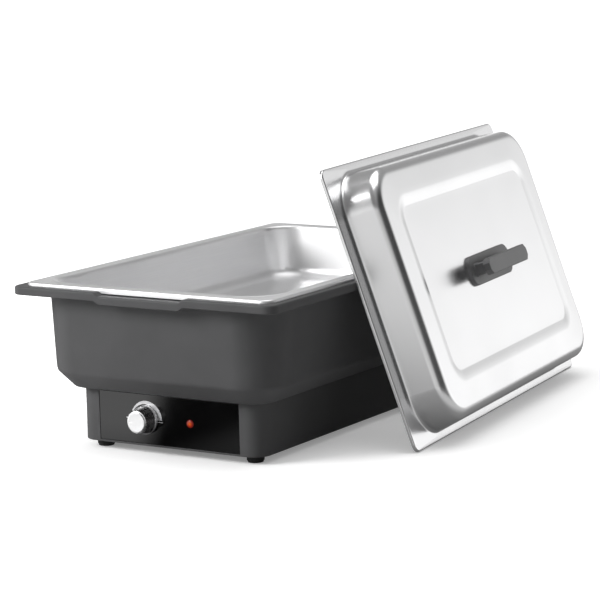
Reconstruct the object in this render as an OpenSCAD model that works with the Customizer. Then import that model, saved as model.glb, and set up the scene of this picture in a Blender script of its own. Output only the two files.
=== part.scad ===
// Electric chafing dish: plastic water-bath housing on a plinth, lift-out food pan,
// loose domed lid leaning beside it. Millimetres, Z up, control panel towards -Y.

/* [Food pan] */
// Flange length, front to back
pan_l = 530; // [510:1:550]
// Flange width, side to side
pan_w = 325; // [310:1:340]
// Inside depth
pan_depth = 65; // [45:1:75]
// Sheet thickness
pan_t = 1.2; // [1:0.1:1.6]
// Height of the turned-down edge
pan_hem = 5; // [4:0.5:7]
// Width of the flat flange
pan_lip = 13.5; // [12:0.5:16]
// Corner radius of the opening
pan_r = 42; // [34:1:50]
// Lean of each wall, top to bottom
pan_draft = 4; // [2:0.5:7]

/* [Housing] */
// Rim width beyond the pan flange
rim_over = 12.5; // [9:0.5:16]
// Height of the rim edge
rim_h = 9.5; // [8.5:0.5:12]
// Depth of the seat for the pan flange
seat_d = 2.5; // [2:0.1:3.5]
// Clearance between pan and tub wall
pan_gap = 4.5; // [3.5:0.5:7]
// Height from tub floor to the underside of the rim
tub_h = 110; // [98:1:125]
// Wall thickness
wall = 3; // [2.5:0.1:3.5]
// Lean of each tub wall, top to bottom
tub_draft = 4; // [2:0.5:6]
// Bevel between wall and floor
chamfer = 20; // [14:1:24]
// Flat length of the finger dip in the rim
dip_w = 104; // [80:1:120]
// Drop of the finger dip
dip_drop = 4; // [3:0.5:6]

/* [Plinth] */
// Step from the tub floor edge to the plinth
plinth_step = 10; // [6:0.5:14]
// Plinth height
plinth_h = 62; // [60:1:72]
// Plinth corner radius
plinth_r = 20; // [14:1:24]
// Gap under the plinth
foot_h = 9; // [5:0.5:12]
// Foot diameter
foot_d = 20; // [16:0.5:24]
// Distance of each foot axis from the plinth side and end
foot_in = 21; // [18:0.5:26]

/* [Control panel] */
// Panel width
panel_w = 189; // [170:1:196]
// Panel height
panel_h = 57; // [52:0.5:58]
// Panel thickness
panel_t = 2.5; // [2:0.1:3]
// Knob position across the panel
knob_x = -30; // [-45:1:-24]
// Pilot lamp position across the panel
pilot_x = 29; // [22:1:60]
// Knob diameter at the panel
knob_d = 33; // [30:0.5:38]
// Knob height
knob_h = 21; // [18:0.5:25]
// Pilot lamp diameter
pilot_d = 8; // [6:0.5:10]

/* [Lid] */
// Lid flange width beyond the pan flange
lid_over = 4; // [3:0.5:6]
// Sheet thickness
lid_t = 1.2; // [1:0.1:1.6]
// Height of the turned-down edge
lid_hem = 3; // [2:0.5:4]
// Height of the dome above the flange
dome_h = 46; // [38:0.5:60]
// Flange width at the lid ends
lid_end = 22; // [18:0.5:30]
// Flange width at the lid sides
lid_side = 12; // [10:0.5:18]
// Radius of the bend from the dome wall to the crown
dome_bend = 12; // [8:0.5:20]
// Lean of the dome wall, from its foot to the bend
dome_draft = 4; // [2:0.5:6]
// Depth of the sunk field on top
field_sink = 1.5; // [1:0.1:2.5]
// Margin from dome edge to the sunk field
field_in = 53; // [46:0.5:60]
// Lean of the lid from upright
lid_lean = 19.4; // [16:0.1:24]
// Turn of the lid away from the dish side
lid_yaw = 7; // [3:0.1:8]
// Position of the near lower lid corner, front to back
lid_front = -95; // [-130:1:-80]
// Clearance where the lid leans on the rim
lean_gap = 0.3; // [0.3:0.1:1]

/* [Lid handle] */
// Base plate length
handle_l = 132; // [120:1:150]
// Base plate width
handle_w = 36; // [32:0.5:42]
// Base plate thickness
handle_t = 4; // [3:0.5:5]
// Grip height above the lid
handle_h = 28; // [25:0.5:36]
// Grip width
grip_w = 20; // [18:0.5:24]
// Grip thickness
grip_t = 9; // [8:0.5:10]
// Distance between the two posts
post_gap = 90; // [80:1:100]
// Screw diameter
handle_screw_d = 5; // [4:0.5:6]

/* [Hidden] */
$fn = 48;
eps = 0.01;
thin = 0.02;
fit = 0.05;

rim_l = pan_l + 2 * rim_over;
rim_w = pan_w + 2 * rim_over;
rim_r = 14;
skirt_t = 3;
plate_t = 5.5;
body_l = pan_l - 2 * pan_lip;
body_w = pan_w - 2 * pan_lip;
tub_l = body_l + 2 * (pan_gap + wall);
tub_w = body_w + 2 * (pan_gap + wall);
tub_r = pan_r + pan_gap + wall;

z_tub = foot_h + plinth_h;
z_bevel = z_tub + chamfer;
z_skirt = z_tub + tub_h;
z_rim = z_skirt + rim_h;
z_seat = z_rim - seat_d;
z_flange = z_seat + pan_hem;
z_pan = z_flange - pan_depth;

low_l = tub_l - 2 * tub_draft;
low_w = tub_w - 2 * tub_draft;
floor_l = low_l - 2 * chamfer;
floor_w = low_w - 2 * chamfer;
floor_r = max(tub_r - tub_draft - chamfer, 8);
plinth_l = floor_l - 2 * plinth_step;
plinth_w = floor_w - 2 * plinth_step;
plinth_y = plinth_l / 2;
plinth_x = plinth_w / 2;

cover_t = 2;
z_cover = foot_h + 2;
z_inside = z_cover + cover_t;
foot_x = plinth_x - foot_in;
foot_y = plinth_y - foot_in;
foot_screw_d = 4;
foot_bore = foot_screw_d + 0.4;

boss_r = 6;
boss_x = plinth_x - wall - boss_r + 0.6;
boss_y = 120;
boss_h = 26;
cover_screw_d = 4;
cover_head_d = 7;
cover_head_h = 1.6;

stud_x = plinth_x - 23;
stud_y = 60;
stud_d = 10;
stud_h = 12;
stud_bore = 3;
tab_t = 3;
tab_w = 18;
z_stud = z_tub - stud_h;

panel_y = -plinth_y + 0.5;
panel_back = panel_y + panel_t;
panel_z = foot_h + plinth_h / 2;
frame_w = 6;
axis_z = panel_z;
shaft_d = 6;
bush_d = 9.5;
nut_h = 4;
bush_h = 5.5;
knob_gap = 0.8;
cap_t = 1.5;
knob_front_d = knob_d - 7;
cap_d = knob_front_d - 3.4;
knob_hollow_d = knob_d - 12;
knob_hollow = 9;
shaft_in = 14;
shaft_out = knob_h - cap_t - 2;

leg_x = 60;
leg_y = -150;
rod_d = 8;
z_coil = z_tub + wall + 13;
coil_end = 130;
gasket_d = 18;
gasket_h = 2;
rod_nut_h = 7;
leg_low = z_tub - 18;

bulb_x = 30;
bulb_d = 6;
bulb_front = -110;
bulb_l = 80;
cutout_y = -60;
cutout_d = 16;
cutout_h = 8;
body_x = 40;
body_y = 32;
body_z = 34;
body_back = panel_back + body_y;
lamp_d = pilot_d + 4;
lamp_l = 24;

block_x = 60;
block_y = 150;
block = [44, 22, 18];
block_front = block_y - block[1] / 2;
gland_x = 60;
gland_z = foot_h + 28;
gland_d = 14;
gland_bore = 7;
wire_d = 2.6;

lid_l = pan_l + 2 * lid_over;
lid_w = pan_w + 2 * lid_over;
lid_r = 10;
dome_l = lid_l - 2 * lid_end;
dome_w = lid_w - 2 * lid_side;
dome_r = 50;
// Dome profile from wall to crown, each as inset from the dome edge and drop below the crown
dome_steps = [for (a = [0:22.5:90]) [dome_draft + dome_bend * (1 - cos(a)), dome_bend * (1 - sin(a))]];
field_l = dome_l - 2 * field_in;
field_w = dome_w - 2 * field_in;
field_r = 20;
top_z = dome_h - field_sink;
grip_r = 4;
post_w = 15;
post_l = 16;
washer_d = handle_screw_d * 2.6;
washer_h = 1.5;
screw_head_h = 3;

// Lid directions: along its long edge, up its face, and outwards
along = [-sin(lid_yaw), cos(lid_yaw), 0];
upward = [-cos(lid_yaw) * sin(lid_lean), -sin(lid_yaw) * sin(lid_lean), cos(lid_lean)];
outward = [cos(lid_yaw) * cos(lid_lean), sin(lid_yaw) * cos(lid_lean), sin(lid_lean)];
lid_z = lid_hem * sin(lid_lean);
// The near end of the flange rests on the side of the rim, by its turned-down edge or by its face
near_y = upward[1] * z_rim / upward[2];
edge_x = (outward * [rim_w / 2, near_y, z_rim - lid_z] + lid_hem + lean_gap) / outward[0];
face_x = (outward * [rim_w / 2, near_y + lid_end, z_rim - lid_z] + lean_gap) / outward[0];
near_x = max(edge_x, face_x);
// The far corner of the rim reaches into the dome
far_corner = [rim_w / 2, rim_l / 2 - lid_front, z_rim - lid_z];
far_x = (outward * far_corner - top_z + lid_t + lean_gap) / outward[0];
lid_x = max(near_x, far_x);
lid_mid = [lid_x, lid_front, lid_z] + along * lid_l / 2 + upward * lid_w / 2;

// Rings of the lid: half width, half length, corner radius and height above the flange
lid_rings = [
    [lid_w / 2, lid_l / 2, lid_r, lid_t],
    for (s = dome_steps) [dome_w / 2 - s[0], dome_l / 2 - s[0], dome_r - s[0], dome_h - s[1]],
    [grip_w / 2, handle_l / 2, grip_r, top_z + handle_h]
];
// How far a ring reaches along X (0) or Y (1) from the middle of the lid
function reach(p, axis) = abs(upward[axis]) * (p[0] - p[2]) + abs(along[axis]) * (p[1] - p[2])
    + norm([upward[axis], along[axis]]) * p[2] + outward[axis] * p[3];
x_max = lid_mid[0] + max([for (p = lid_rings) reach(p, 0)]);
y_max = lid_mid[1] + max([for (p = lid_rings) reach(p, 1)]);
off_x = (x_max - rim_w / 2) / 2;
off_y = (y_max - rim_l / 2) / 2;

echo(offset = [off_x, off_y], lid_mid = lid_mid, outward = outward, along = along, upward = upward);
echo(z_flange = z_flange, z_rim = z_rim, z_pan = z_pan, z_tub = z_tub, plinth = [plinth_w, plinth_l],
     tub = [tub_w, tub_l], knob = [knob_x, panel_y, axis_z], foot = [foot_x, foot_y],
     lid_x = [near_x, far_x]);

// Rounded rectangle, width along X
module plate_2d(w, l, r) {
    square([w - 2 * r, l], center = true);
    square([w, l - 2 * r], center = true);
    for (sx = [-1, 1], sy = [-1, 1])
        translate([sx * (w / 2 - r), sy * (l / 2 - r)]) circle(r = r);
}

module slab(w, l, r, z, h = thin) {
    translate([0, 0, z]) linear_extrude(height = h) plate_2d(w, l, r);
}

module ring(w, l, r, t, z, h) {
    translate([0, 0, z]) linear_extrude(height = h) difference() {
        plate_2d(w, l, r);
        plate_2d(w - 2 * t, l - 2 * t, max(r - t, 1));
    }
}

// Straight round bar between two points
module bar(p, q, d) {
    v = q - p;
    n = norm(v);
    translate(p) rotate([0, acos(v[2] / n), atan2(v[1], v[0])]) cylinder(h = n, d = d, $fn = 24);
}

module run_along(points, d) {
    for (i = [0:len(points) - 2]) bar(points[i], points[i + 1], d);
    for (i = [1:len(points) - 2]) translate(points[i]) sphere(d = d + 0.3, $fn = 24);
}

module in_row() {
    translate([-off_x, -off_y, 0]) children();
}

module on_lid() {
    in_row() translate(lid_mid) rotate([0, 90 - lid_lean, lid_yaw]) children();
}

// Local Z points out of the control panel
module on_panel(x) {
    in_row() translate([x, panel_y, axis_z]) rotate([90, 0, 0]) children();
}

// At both legs of the heating rod, at a height
module on_legs(z) {
    in_row() for (s = [-1, 1]) translate([s * leg_x, leg_y, z]) children();
}

// At both handle posts, at a height above the lid flange
module at_posts(z) {
    for (s = [-1, 1]) translate([0, s * post_gap / 2, z]) children();
}

module four(x, y) {
    for (sx = [-1, 1], sy = [-1, 1]) translate([sx * x, sy * y, 0]) children();
}

// Outline of the dipped rim, from its top down by h
module dip_band(h) {
    a = dip_w / 2;
    b = dip_w / 2 + dip_drop;
    polygon([[-b, z_rim], [-a, z_rim - dip_drop], [a, z_rim - dip_drop], [b, z_rim],
             [b, z_rim - h], [a, z_rim - dip_drop - h], [-a, z_rim - dip_drop - h], [-b, z_rim - h]]);
}

module dip_cut() {
    a = dip_w / 2;
    b = dip_w / 2 + dip_drop;
    c = b + 2;
    polygon([[-c, z_rim + 2], [-b, z_rim], [-a, z_rim - dip_drop],
             [a, z_rim - dip_drop], [b, z_rim], [c, z_rim + 2]]);
}

// Upright slab from y0 to y1 cut to a front-view outline
module front_slab(y0, y1) {
    translate([0, y1, 0]) rotate([90, 0, 0]) linear_extrude(height = y1 - y0) children();
}

module tub_housing() {
    color([0.2, 0.2, 0.21]) in_row() difference() {
        union() {
            hull() {
                slab(tub_w, tub_l, tub_r, z_rim - plate_t);
                slab(low_w, low_l, tub_r - tub_draft, z_bevel);
            }
            hull() {
                slab(low_w, low_l, tub_r - tub_draft, z_bevel);
                slab(floor_w, floor_l, floor_r, z_tub);
            }
            slab(rim_w, rim_l, rim_r, z_rim - plate_t, plate_t);
            ring(rim_w, rim_l, rim_r, skirt_t, z_skirt, rim_h - plate_t + eps);
            for (s = [0, 180]) rotate([0, 0, s]) {
                front_slab(-rim_l / 2, -rim_l / 2 + skirt_t) dip_band(rim_h);
                front_slab(-rim_l / 2, -tub_l / 2 + wall) dip_band(plate_t);
            }
            four(stud_x, stud_y) translate([0, 0, z_stud]) cylinder(h = stud_h + 1, d = stud_d);
        }
        hull() {
            slab(tub_w - 2 * wall, tub_l - 2 * wall, tub_r - wall, z_rim + 1);
            slab(low_w - 2 * wall, low_l - 2 * wall, tub_r - tub_draft - wall, z_bevel + wall * 0.4);
        }
        hull() {
            slab(low_w - 2 * wall, low_l - 2 * wall, tub_r - tub_draft - wall, z_bevel + wall * 0.4);
            slab(floor_w - wall, floor_l - wall, floor_r - wall / 2, z_tub + wall);
        }
        slab(pan_w + 1.5, pan_l + 1.5, 12.75, z_seat, seat_d + 1);
        for (s = [0, 180]) rotate([0, 0, s])
            front_slab(-rim_l / 2 - 1, -tub_l / 2 + wall + 2) dip_cut();
        for (s = [-1, 1]) translate([s * leg_x, leg_y, z_tub - 1]) cylinder(h = wall + 2, d = rod_d + 0.4);
        four(stud_x, stud_y) translate([0, 0, z_stud - 1]) cylinder(h = stud_h - 1, d = stud_bore, $fn = 24);
    }
}

module base_plinth() {
    color([0.17, 0.17, 0.18]) in_row() difference() {
        union() {
            ring(plinth_w, plinth_l, plinth_r, wall, foot_h, plinth_h);
            translate([-panel_w / 2 - 4, -plinth_y + wall - eps, z_inside + 0.3])
                cube([panel_w + 8, wall, foot_h + plinth_h - 1.5 - z_inside]);
            four(boss_x, boss_y) translate([0, 0, z_inside]) cylinder(h = boss_h, r = boss_r);
            four((stud_x - stud_d / 2 + plinth_x - 1) / 2, stud_y)
                translate([0, 0, z_stud - tab_t / 2])
                    cube([plinth_x - 1 - stud_x + stud_d / 2, tab_w, tab_t], center = true);
        }
        translate([0, -plinth_y + panel_t / 2, panel_z])
            cube([panel_w + 0.3, panel_t + 1, panel_h + 0.3], center = true);
        translate([0, -plinth_y + wall, panel_z])
            cube([panel_w - 2 * frame_w, 4 * wall, panel_h - 2 * frame_w], center = true);
        four(boss_x, boss_y) translate([0, 0, z_inside - 1]) cylinder(h = 14, d = cover_screw_d, $fn = 24);
        four(stud_x, stud_y) translate([0, 0, z_stud - tab_t - 1])
            cylinder(h = tab_t + 2, d = stud_bore + 0.4, $fn = 24);
        translate([gland_x, plinth_y + 1, gland_z]) rotate([90, 0, 0]) cylinder(h = wall + 2, d = gland_d);
    }
}

module plinth_screws() {
    color([0.7, 0.7, 0.72]) in_row() four(stud_x, stud_y) translate([0, 0, z_stud - tab_t]) {
        cylinder(h = tab_t + 8, d = stud_bore, $fn = 24);
        translate([0, 0, -2.4]) difference() {
            cylinder(h = 2.4, d = stud_bore * 2);
            translate([0, 0, -1]) cube([0.8, 7, 4], center = true);
        }
    }
}

module bottom_cover() {
    color([0.55, 0.56, 0.57]) in_row() difference() {
        slab(plinth_w - 2 * wall - 0.6, plinth_l - 2 * wall - 0.6, plinth_r - wall, z_cover, cover_t);
        four(boss_x, boss_y) translate([0, 0, z_cover - 1])
            cylinder(h = 4, d = cover_screw_d + 0.5, $fn = 24);
        four(foot_x, foot_y) translate([0, 0, z_cover - 1]) cylinder(h = 4, d = foot_bore, $fn = 24);
        for (i = [-4:4]) translate([0, i * 14, z_cover]) cube([70, 4, 6], center = true);
    }
}

module cover_screws() {
    color([0.7, 0.7, 0.72]) in_row() four(boss_x, boss_y) {
        translate([0, 0, z_cover]) cylinder(h = cover_t + 10, d = cover_screw_d, $fn = 24);
        translate([0, 0, z_cover - cover_head_h]) difference() {
            cylinder(h = cover_head_h, d = cover_head_d);
            cube([0.9, 8, 1.4], center = true);
        }
    }
}

module foot(sx, sy) {
    color([0.08, 0.08, 0.08]) in_row() translate([sx * foot_x, sy * foot_y, 0]) difference() {
        union() {
            cylinder(h = z_cover, d = foot_d - 2);
            translate([0, 0, 2]) cylinder(h = z_cover - 2, d = foot_d);
        }
        translate([0, 0, -1]) cylinder(h = z_cover + 2, d = foot_bore, $fn = 24);
        translate([0, 0, -1]) cylinder(h = 4, d = foot_screw_d * 2.2);
    }
}

module foot_front_left() { foot(-1, -1); }
module foot_front_right() { foot(1, -1); }
module foot_back_left() { foot(-1, 1); }
module foot_back_right() { foot(1, 1); }

module foot_screws() {
    color([0.7, 0.7, 0.72]) in_row() four(foot_x, foot_y) {
        translate([0, 0, 3]) cylinder(h = z_inside + 2, d = foot_screw_d, $fn = 24);
        translate([0, 0, 1]) difference() {
            cylinder(h = 2, d = foot_screw_d * 2);
            cube([0.9, 12, 1.6], center = true);
        }
    }
}

module foot_nuts() {
    color([0.7, 0.7, 0.72]) in_row() four(foot_x, foot_y) translate([0, 0, z_inside]) difference() {
        cylinder(h = 3, d = 8, $fn = 6);
        translate([0, 0, -1]) cylinder(h = 5, d = foot_screw_d, $fn = 24);
    }
}

module control_panel() {
    color([0.03, 0.03, 0.03]) in_row() difference() {
        translate([0, panel_y + panel_t / 2, panel_z]) cube([panel_w, panel_t, panel_h], center = true);
        translate([knob_x, panel_back + 1, axis_z]) rotate([90, 0, 0])
            cylinder(h = panel_t + 2, d = bush_d + 0.4);
        translate([pilot_x, panel_back + 1, axis_z]) rotate([90, 0, 0])
            cylinder(h = panel_t + 2, d = pilot_d);
    }
}

// Tapered temperature arc over the knob, with a stop line and an off tick
module dial_scale() {
    r = knob_d / 2 + 4.5;
    color([0.8, 0.8, 0.82]) on_panel(knob_x) linear_extrude(height = 0.2) {
        intersection() {
            difference() {
                circle(r = r, $fn = 96);
                translate([-2, -0.9]) circle(r = r - 3, $fn = 96);
            }
            polygon([[0, 0], [-2 * r, 0.9 * r], [-2 * r, 2 * r], [2 * r, 2 * r], [2 * r, 0]]);
        }
        translate([r - 5, -2.6]) square([6, 1]);
        translate([-r - 6.5, -0.6]) square([3.5, 1.2]);
    }
}

module pilot_lens() {
    color([0.9, 0.2, 0.05]) on_panel(pilot_x) {
        translate([0, 0, -panel_t]) cylinder(h = panel_t + 0.5, d = pilot_d);
        cylinder(h = 1.2, d = pilot_d + 1.5);
    }
}

module pilot_lamp() {
    color([0.85, 0.83, 0.78]) on_panel(pilot_x) translate([0, 0, -panel_t - lamp_l]) {
        cylinder(h = lamp_l, d = lamp_d);
        translate([0, 0, lamp_l - 2]) cylinder(h = 2, d = lamp_d + 3);
        for (s = [-1, 1]) translate([s * 3, 0, -4]) cube([0.8, 4.8, 9], center = true);
    }
}

module thermostat_body() {
    color([0.86, 0.84, 0.78]) on_panel(knob_x) difference() {
        union() {
            translate([0, 0, -panel_t - body_y / 2]) cube([body_x, body_z, body_y], center = true);
            translate([0, 0, -panel_t - 1]) cylinder(h = panel_t + 1 + bush_h, d = bush_d);
        }
        translate([0, 0, -shaft_in - 0.3]) cylinder(h = shaft_in + bush_h + 2, d = shaft_d + 2 * fit);
    }
}

module thermostat_nut() {
    color([0.75, 0.72, 0.6]) on_panel(knob_x) difference() {
        cylinder(h = nut_h, d = 16, $fn = 6);
        translate([0, 0, -1]) cylinder(h = nut_h + 2, d = bush_d);
    }
}

module knob_shaft() {
    color([0.75, 0.72, 0.6]) on_panel(knob_x) translate([0, 0, -shaft_in])
        cylinder(h = shaft_in + shaft_out, d = shaft_d);
}

module knob_body() {
    color([0.75, 0.75, 0.77]) on_panel(knob_x) difference() {
        union() {
            translate([0, 0, knob_gap]) cylinder(h = 4.2, d = knob_d);
            translate([0, 0, knob_gap + 4.2])
                cylinder(h = knob_h - cap_t - knob_gap - 4.2, d1 = knob_d - 2, d2 = knob_front_d);
        }
        translate([0, 0, knob_gap - 1]) cylinder(h = knob_hollow - knob_gap + 1, d = knob_hollow_d);
        translate([0, 0, 2]) cylinder(h = shaft_out - 2, d = shaft_d);
    }
}

module knob_cap() {
    color([0.9, 0.9, 0.9]) on_panel(knob_x) translate([0, 0, knob_h - cap_t]) difference() {
        cylinder(h = cap_t, d = cap_d);
        translate([-cap_d / 2 + 1.5, -0.6, cap_t - 0.4]) cube([6, 1.2, 1]);
    }
}

module heater_element() {
    color([0.45, 0.44, 0.42]) in_row() run_along([
        [-leg_x, leg_y, leg_low], [-leg_x, leg_y, z_coil], [-leg_x, coil_end, z_coil],
        [leg_x, coil_end, z_coil], [leg_x, leg_y, z_coil], [leg_x, leg_y, leg_low]], rod_d);
}

module element_gaskets() {
    color([0.6, 0.2, 0.15]) on_legs(z_tub + wall) difference() {
        cylinder(h = gasket_h, d = gasket_d);
        translate([0, 0, -1]) cylinder(h = gasket_h + 2, d = rod_d);
    }
}

module element_nuts() {
    color([0.75, 0.72, 0.6]) on_legs(z_tub - rod_nut_h) difference() {
        cylinder(h = rod_nut_h, d = 18, $fn = 6);
        translate([0, 0, -1]) cylinder(h = rod_nut_h + 2, d = rod_d);
    }
}

module sensor_bulb() {
    color([0.72, 0.45, 0.3]) in_row() translate([bulb_x, bulb_front, z_tub - bulb_d / 2])
        rotate([-90, 0, 0]) cylinder(h = bulb_l, d = bulb_d);
}

module capillary_tube() {
    z = z_tub - bulb_d / 2;
    color([0.72, 0.45, 0.3]) in_row() run_along([
        [knob_x + 12, body_back, axis_z + 12], [knob_x + 12, bulb_front - 30, axis_z + 12],
        [knob_x + 12, bulb_front - 30, z], [bulb_x, bulb_front - 30, z], [bulb_x, bulb_front, z]], 2);
}

module thermal_cutout() {
    color([0.2, 0.2, 0.2]) in_row() translate([0, cutout_y, z_tub - cutout_h]) {
        cylinder(h = cutout_h, d = cutout_d);
        for (s = [-1, 1]) translate([s * 6, 0, -2]) cube([4, 1, 6], center = true);
    }
}

module terminal_block() {
    color([0.88, 0.86, 0.8]) in_row() difference() {
        translate([block_x, block_y, z_inside + block[2] / 2]) cube(block, center = true);
        for (i = [-1:1]) translate([block_x + i * 14, block_y, z_inside + 10])
            cylinder(h = 20, d = 6, $fn = 24);
    }
}

module supply_wire() {
    z = z_inside + 13;
    y = body_back + 20;
    color([0.4, 0.22, 0.1]) in_row() run_along([
        [block_x - 14, block_front, z], [block_x - 14, y, z],
        [knob_x - 8, y, z], [knob_x - 8, body_back, z]], wire_d);
}

module heater_wire() {
    z = axis_z - 12;
    x = knob_x - 16;
    color([0.1, 0.1, 0.1]) in_row() run_along([
        [x, body_back, z], [x, leg_y, z], [-leg_x, leg_y, z], [-leg_x, leg_y, leg_low]], wire_d);
}

module return_wire() {
    color([0.1, 0.2, 0.55]) in_row() run_along([
        [leg_x, block_front, z_inside + 9], [leg_x, leg_y, z_inside + 9], [leg_x, leg_y, leg_low]], wire_d);
}

module pilot_wire() {
    color([0.1, 0.1, 0.1]) in_row() run_along([
        [pilot_x, panel_back + lamp_l, axis_z], [pilot_x, body_back + 12, axis_z],
        [pilot_x, body_back + 12, axis_z - 10],
        [knob_x + 14, body_back + 12, axis_z - 10], [knob_x + 14, body_back, axis_z - 10]], wire_d);
}

module earth_wire() {
    color([0.3, 0.5, 0.15]) in_row() run_along([
        [block_x + 14, block_front, z_inside + 9], [block_x + 14, block_front - 25, z_inside + 9],
        [block_x + 14, block_front - 25, z_inside]], wire_d);
}

// Inlet for the supply lead, empty
module cord_gland() {
    color([0.1, 0.1, 0.1]) in_row() translate([gland_x, plinth_y, gland_z]) rotate([90, 0, 0]) difference() {
        union() {
            translate([0, 0, -6]) cylinder(h = 6, d = 22, $fn = 6);
            translate([0, 0, -14]) cylinder(h = 8 + eps, d = 17);
            cylinder(h = wall + 12, d = gland_d);
        }
        translate([0, 0, -20]) cylinder(h = 60, d = gland_bore);
    }
}

module gland_nut() {
    color([0.1, 0.1, 0.1]) in_row() translate([gland_x, plinth_y - wall, gland_z])
        rotate([90, 0, 0]) difference() {
        cylinder(h = 6, d = 22, $fn = 6);
        translate([0, 0, -1]) cylinder(h = 8, d = gland_d);
    }
}

module pan_form(grow, z_low) {
    low = pan_draft - grow;
    hull() {
        slab(body_w + 2 * grow, body_l + 2 * grow, pan_r + grow, z_flange - thin);
        slab(body_w - 2 * low, body_l - 2 * low, pan_r - low, z_low + 14);
        slab(body_w - 2 * low - 20, body_l - 2 * low - 20, pan_r - low - 10, z_low);
    }
}

module food_pan() {
    color([0.8, 0.8, 0.82]) in_row() difference() {
        union() {
            pan_form(0, z_pan - pan_t);
            slab(pan_w, pan_l, 12, z_flange - pan_t, pan_t);
            ring(pan_w, pan_l, 12, pan_t, z_seat, pan_hem);
        }
        translate([0, 0, eps]) pan_form(-pan_t, z_pan);
        slab(body_w - 2 * pan_t, body_l - 2 * pan_t, pan_r - pan_t, z_flange - thin, 1);
    }
}

module dome_form(shrink, base) {
    hull() {
        slab(dome_w - 2 * shrink, dome_l - 2 * shrink, dome_r - shrink, base);
        for (s = dome_steps) let (inset = s[0] + shrink)
            slab(dome_w - 2 * inset, dome_l - 2 * inset, dome_r - inset, dome_h - s[1] - shrink - thin);
    }
}

module lid_shell() {
    color([0.82, 0.82, 0.84]) on_lid() difference() {
        union() {
            dome_form(0, 0);
            slab(lid_w, lid_l, lid_r, 0, lid_t);
            ring(lid_w, lid_l, lid_r, lid_t, -lid_hem, lid_hem + eps);
        }
        slab(field_w, field_l, field_r, top_z, 2 * field_sink);
        difference() {
            dome_form(lid_t, -eps);
            slab(field_w + 2 * lid_t, field_l + 2 * lid_t, field_r + lid_t,
                 top_z - lid_t, field_sink + lid_t);
        }
        slab(dome_w - 2 * lid_t, dome_l - 2 * lid_t, dome_r - lid_t, -1, 1 + thin);
        at_posts(0) cylinder(h = 2 * top_z, d = handle_screw_d + 0.4, $fn = 32);
    }
}

module handle_base() {
    color([0.1, 0.1, 0.11]) on_lid() difference() {
        slab(handle_w, handle_l, 14, top_z, handle_t);
        at_posts(0) cylinder(h = 2 * top_z, d = handle_screw_d + 0.4, $fn = 32);
    }
}

module handle_grip() {
    z_bar = top_z + handle_h - grip_t;
    color([0.12, 0.12, 0.13]) on_lid() difference() {
        union() {
            slab(grip_w, handle_l - 5, grip_r, z_bar, grip_t);
            at_posts((top_z + handle_t + z_bar) / 2)
                cube([post_w, post_l, z_bar - top_z - handle_t + 2 * eps], center = true);
        }
        at_posts(0) cylinder(h = top_z + handle_h - 4, d = handle_screw_d, $fn = 32);
    }
}

module handle_screws() {
    color([0.7, 0.7, 0.72]) on_lid() at_posts(top_z - lid_t - washer_h) {
        cylinder(h = washer_h + lid_t + handle_h - 6, d = handle_screw_d, $fn = 32);
        translate([0, 0, -screw_head_h]) difference() {
            cylinder(h = screw_head_h, d = handle_screw_d * 1.8);
            cube([1, 12, 2.4], center = true);
        }
    }
}

module handle_washers() {
    color([0.75, 0.75, 0.77]) on_lid() at_posts(top_z - lid_t - washer_h) difference() {
        cylinder(h = washer_h, d = washer_d);
        translate([0, 0, -1]) cylinder(h = washer_h + 2, d = handle_screw_d, $fn = 32);
    }
}

tub_housing();
base_plinth();
plinth_screws();
bottom_cover();
cover_screws();
foot_front_left();
foot_front_right();
foot_back_left();
foot_back_right();
foot_screws();
foot_nuts();
control_panel();
dial_scale();
pilot_lens();
pilot_lamp();
thermostat_body();
thermostat_nut();
heater_element();
element_gaskets();
element_nuts();
sensor_bulb();
capillary_tube();
thermal_cutout();
terminal_block();
supply_wire();
heater_wire();
return_wire();
pilot_wire();
earth_wire();
cord_gland();
gland_nut();
knob_shaft();
knob_body();
knob_cap();
food_pan();
lid_shell();
handle_base();
handle_grip();
handle_screws();
handle_washers();
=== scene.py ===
"""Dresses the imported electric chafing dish: modelled pieces, finishes, studio light and camera."""

import logging
import math
from dataclasses import dataclass
from enum import Enum
from typing import Callable, Dict, Iterable, List, Optional, Protocol, Sequence, Tuple

import bmesh
import bpy
from mathutils import Matrix, Vector


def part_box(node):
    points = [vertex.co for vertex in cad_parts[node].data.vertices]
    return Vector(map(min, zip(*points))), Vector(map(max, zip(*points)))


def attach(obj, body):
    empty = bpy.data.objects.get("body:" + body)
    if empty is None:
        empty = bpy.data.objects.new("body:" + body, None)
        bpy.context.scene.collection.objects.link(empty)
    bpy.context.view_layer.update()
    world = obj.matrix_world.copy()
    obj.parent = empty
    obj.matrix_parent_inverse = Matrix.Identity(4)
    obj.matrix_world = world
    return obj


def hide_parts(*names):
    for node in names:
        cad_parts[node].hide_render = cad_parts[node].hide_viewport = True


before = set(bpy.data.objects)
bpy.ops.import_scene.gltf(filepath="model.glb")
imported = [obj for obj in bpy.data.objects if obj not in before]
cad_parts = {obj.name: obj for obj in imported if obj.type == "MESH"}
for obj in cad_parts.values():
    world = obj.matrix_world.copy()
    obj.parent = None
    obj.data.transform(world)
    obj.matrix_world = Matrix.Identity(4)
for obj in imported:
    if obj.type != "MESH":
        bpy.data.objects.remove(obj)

Point = Tuple[float, float]
Span = Tuple[float, float]
Triple = Tuple[float, float, float]
Colour = Tuple[float, float, float, float]
Socket = bpy.types.NodeSocket

LOG = logging.getLogger("chafing_dish")
MM = 0.001
MERGE_GAP = 0.01 * MM
SAME_PLACE = 0.02
SQUARE_ON = 0.99
LEAST_RADIUS = 1.0
SMOOTH_ANGLE = math.radians(32.0)
SHARP_ANGLE = math.radians(40.0)
ACROSS: Triple = (1.0, 0.0, 0.0)
UP: Triple = (0.0, 0.0, 1.0)
WHOLE: Span = (0.0, 1.0)
MIDDLE: Span = (0.3, 0.7)


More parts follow.
